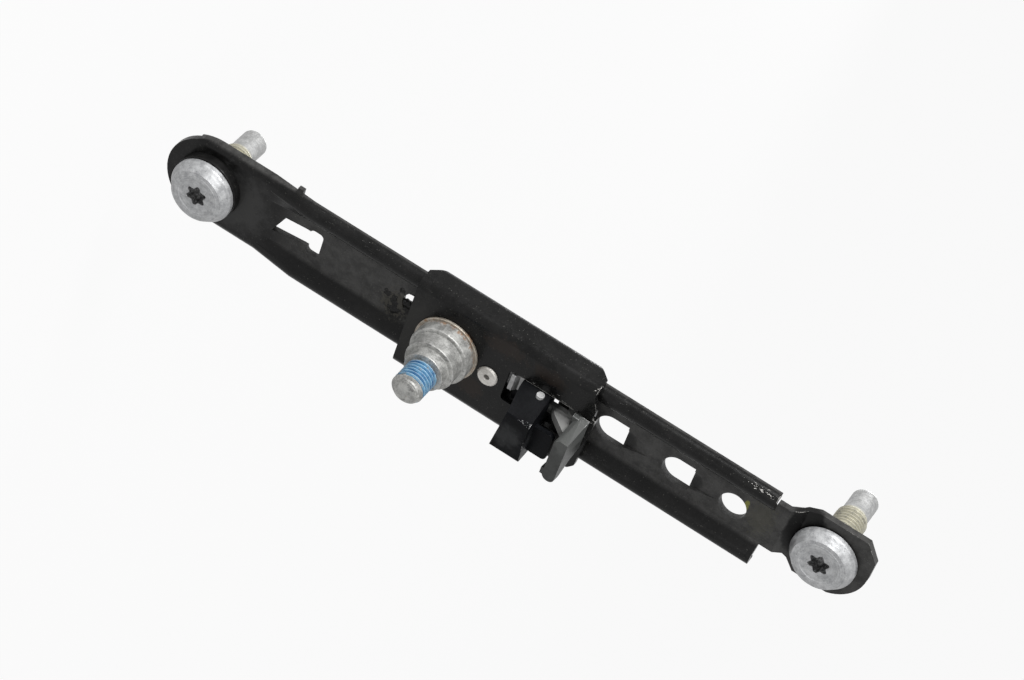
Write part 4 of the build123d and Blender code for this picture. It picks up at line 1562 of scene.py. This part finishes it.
@dataclass
class Studio:
    """The floor, the lamps, the world and the camera.

    Attributes:
        azimuth: The camera's angle round the part, in degrees.
        elevation: Its angle above the horizon, in degrees.
        roll: How far the camera is turned about its own axis, in degrees.
        distance: From the camera to its target, in metres.
        lens: The focal length on a frame of the sensor's width, in millimetres.
        sensor: The frame's width, in millimetres.
        near: From where the camera sees, in metres.
        far: How far it sees, in metres.
        aim: The target's place on the part's axis, in metres.
        shift_right: The target's offset to the picture's right, in metres.
        shift_up: The target's offset to the picture's top, in metres.
        floor_drop: How far the floor lies below the part, in metres.
        floor_half: Half the floor's width, in metres.
        floor_level: The floor paint's colour level.
        floor_glow: How much of the floor is plain white where it is seen.
        soft_light: The strength of the light from all sides.
        lamps: The lamps.
    """

    azimuth: float = -45.035
    elevation: float = 10.933
    roll: float = 121.948
    distance: float = 0.9922
    lens: float = 122.12
    sensor: float = 36.0
    near: float = 0.01
    far: float = 100.0
    aim: Point = (0.0, -0.004, 0.105)
    shift_right: float = 1.665 * MM
    shift_up: float = 9.904 * MM
    floor_drop: float = 12.0 * MM
    floor_half: float = 40.0
    floor_level: float = 0.45
    floor_glow: float = 0.93
    soft_light: float = 0.42
    lamps: tuple[Lamp, ...] = (
        Lamp("key", (-1.0, 0.05, 0.38), 0.4, 14.0),
        Lamp("fill", (-0.35, -1.2, 0.6), 0.6, 6.0),
        Lamp("back", (0.15, 1.1, 0.14), 0.5, 8.0),
    )

    def build(self) -> None:
        """Builds the studio in order."""
        self._camera()
        self._floor()
        for lamp in self.lamps:
            lamp.hang(Vector(self.aim))
        self._world()

    def _camera(self) -> None:
        """Places the camera as the photograph was taken."""
        turn, rise, roll = (math.radians(angle) for angle in (self.azimuth, self.elevation, self.roll))
        back = Vector((math.sin(turn) * math.cos(rise), -math.cos(turn) * math.cos(rise), math.sin(rise)))
        level = Vector((math.cos(turn), math.sin(turn), 0.0))
        upright = back.cross(level)
        right = math.cos(roll) * level + math.sin(roll) * upright
        up = -math.sin(roll) * level + math.cos(roll) * upright
        target = Vector(self.aim) + right * self.shift_right + up * self.shift_up
        data = bpy.data.cameras.new("camera")
        data.sensor_width = self.sensor
        data.lens = self.lens
        data.clip_start = self.near
        data.clip_end = self.far
        camera = bpy.data.objects.new("camera", data)
        camera.location = target + back * self.distance
        camera.rotation_euler = Matrix((right, up, back)).transposed().to_euler()
        bpy.context.scene.collection.objects.link(camera)
        bpy.context.scene.camera = camera

    def _floor(self) -> None:
        """Lays a wide pale floor a little below the part."""
        mesh = bmesh.new()
        under = Matrix.Translation((0.0, 0.0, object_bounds()[0].z - self.floor_drop))
        bmesh.ops.create_grid(mesh, x_segments=1, y_segments=1, size=self.floor_half, matrix=under)
        data = bpy.data.meshes.new("floor")
        mesh.to_mesh(data)
        mesh.free()
        floor = bpy.data.objects.new("floor", data)
        bpy.context.scene.collection.objects.link(floor)
        material = bpy.data.materials.new("floor_paint")
        material.use_nodes = True
        tree = material.node_tree
        nodes = Nodes(tree)
        shader = tree.nodes["Principled BSDF"]
        shader.inputs["Base Color"].default_value = grey(self.floor_level)
        shader.inputs["Roughness"].default_value = 0.9
        shader.inputs["Specular IOR Level"].default_value = 0.1
        glow = nodes.add("ShaderNodeEmission")
        glow.inputs["Color"].default_value = grey(1.0)
        share = nodes.times(seen_by_eye(nodes), self.floor_glow)
        blend_shaders(nodes, share, shader, glow, tree.nodes["Material Output"])
        data.materials.append(material)
        floor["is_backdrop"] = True

    def _world(self) -> None:
        """Surrounds the part with soft light, white where it is seen."""
        world = bpy.data.worlds.new("studio")
        bpy.context.scene.world = world
        world.use_nodes = True
        tree = world.node_tree
        nodes = Nodes(tree)
        soft = tree.nodes["Background"]
        soft.inputs["Color"].default_value = grey(1.0)
        soft.inputs["Strength"].default_value = self.soft_light
        white = nodes.add("ShaderNodeBackground")
        white.inputs["Color"].default_value = grey(1.0)
        white.inputs["Strength"].default_value = 1.0
        blend_shaders(nodes, seen_by_eye(nodes), soft, white, tree.nodes["World Output"])
        bpy.context.scene.view_settings.view_transform = "Standard"


def seen_by_eye(nodes: Nodes) -> Socket:
    """Tells the rays that see the backdrop from those that light the part.

    Args:
        nodes: The tree that asks.

    Returns:
        One for camera, glossy and transmission rays, and nothing for the rest.
    """
    path = nodes.add("ShaderNodeLightPath").outputs
    mirrored = nodes.math("MAXIMUM", path["Is Glossy Ray"], path["Is Transmission Ray"])
    return nodes.math("MAXIMUM", path["Is Camera Ray"], mirrored)


def blend_shaders(
    nodes: Nodes, share: Socket, under: bpy.types.Node, over: bpy.types.Node, output: bpy.types.Node,
) -> None:
    """Blends two shaders into an output.

    Args:
        nodes: The tree's filler.
        share: How much of the upper shader shows.
        under: The lower shader.
        over: The upper shader.
        output: The tree's output.
    """
    blend = nodes.add("ShaderNodeMixShader")
    for socket, value in zip(blend.inputs, (share, under.outputs[0], over.outputs[0])):
        nodes.feed(socket, value)
    nodes.feed(output.inputs["Surface"], blend.outputs[0])


def main() -> None:
    """Builds the studio and the sub-assemblies in order."""
    logging.basicConfig(level=logging.INFO, format="%(name)s: %(message)s")
    Effects().build()
    Studio().build()
    for part in (Rail(), Slider(), Plunger(), Lever()):
        log.info("building the %s", type(part).__name__.lower())
        part.build()


if __name__ == "__main__":
    main()
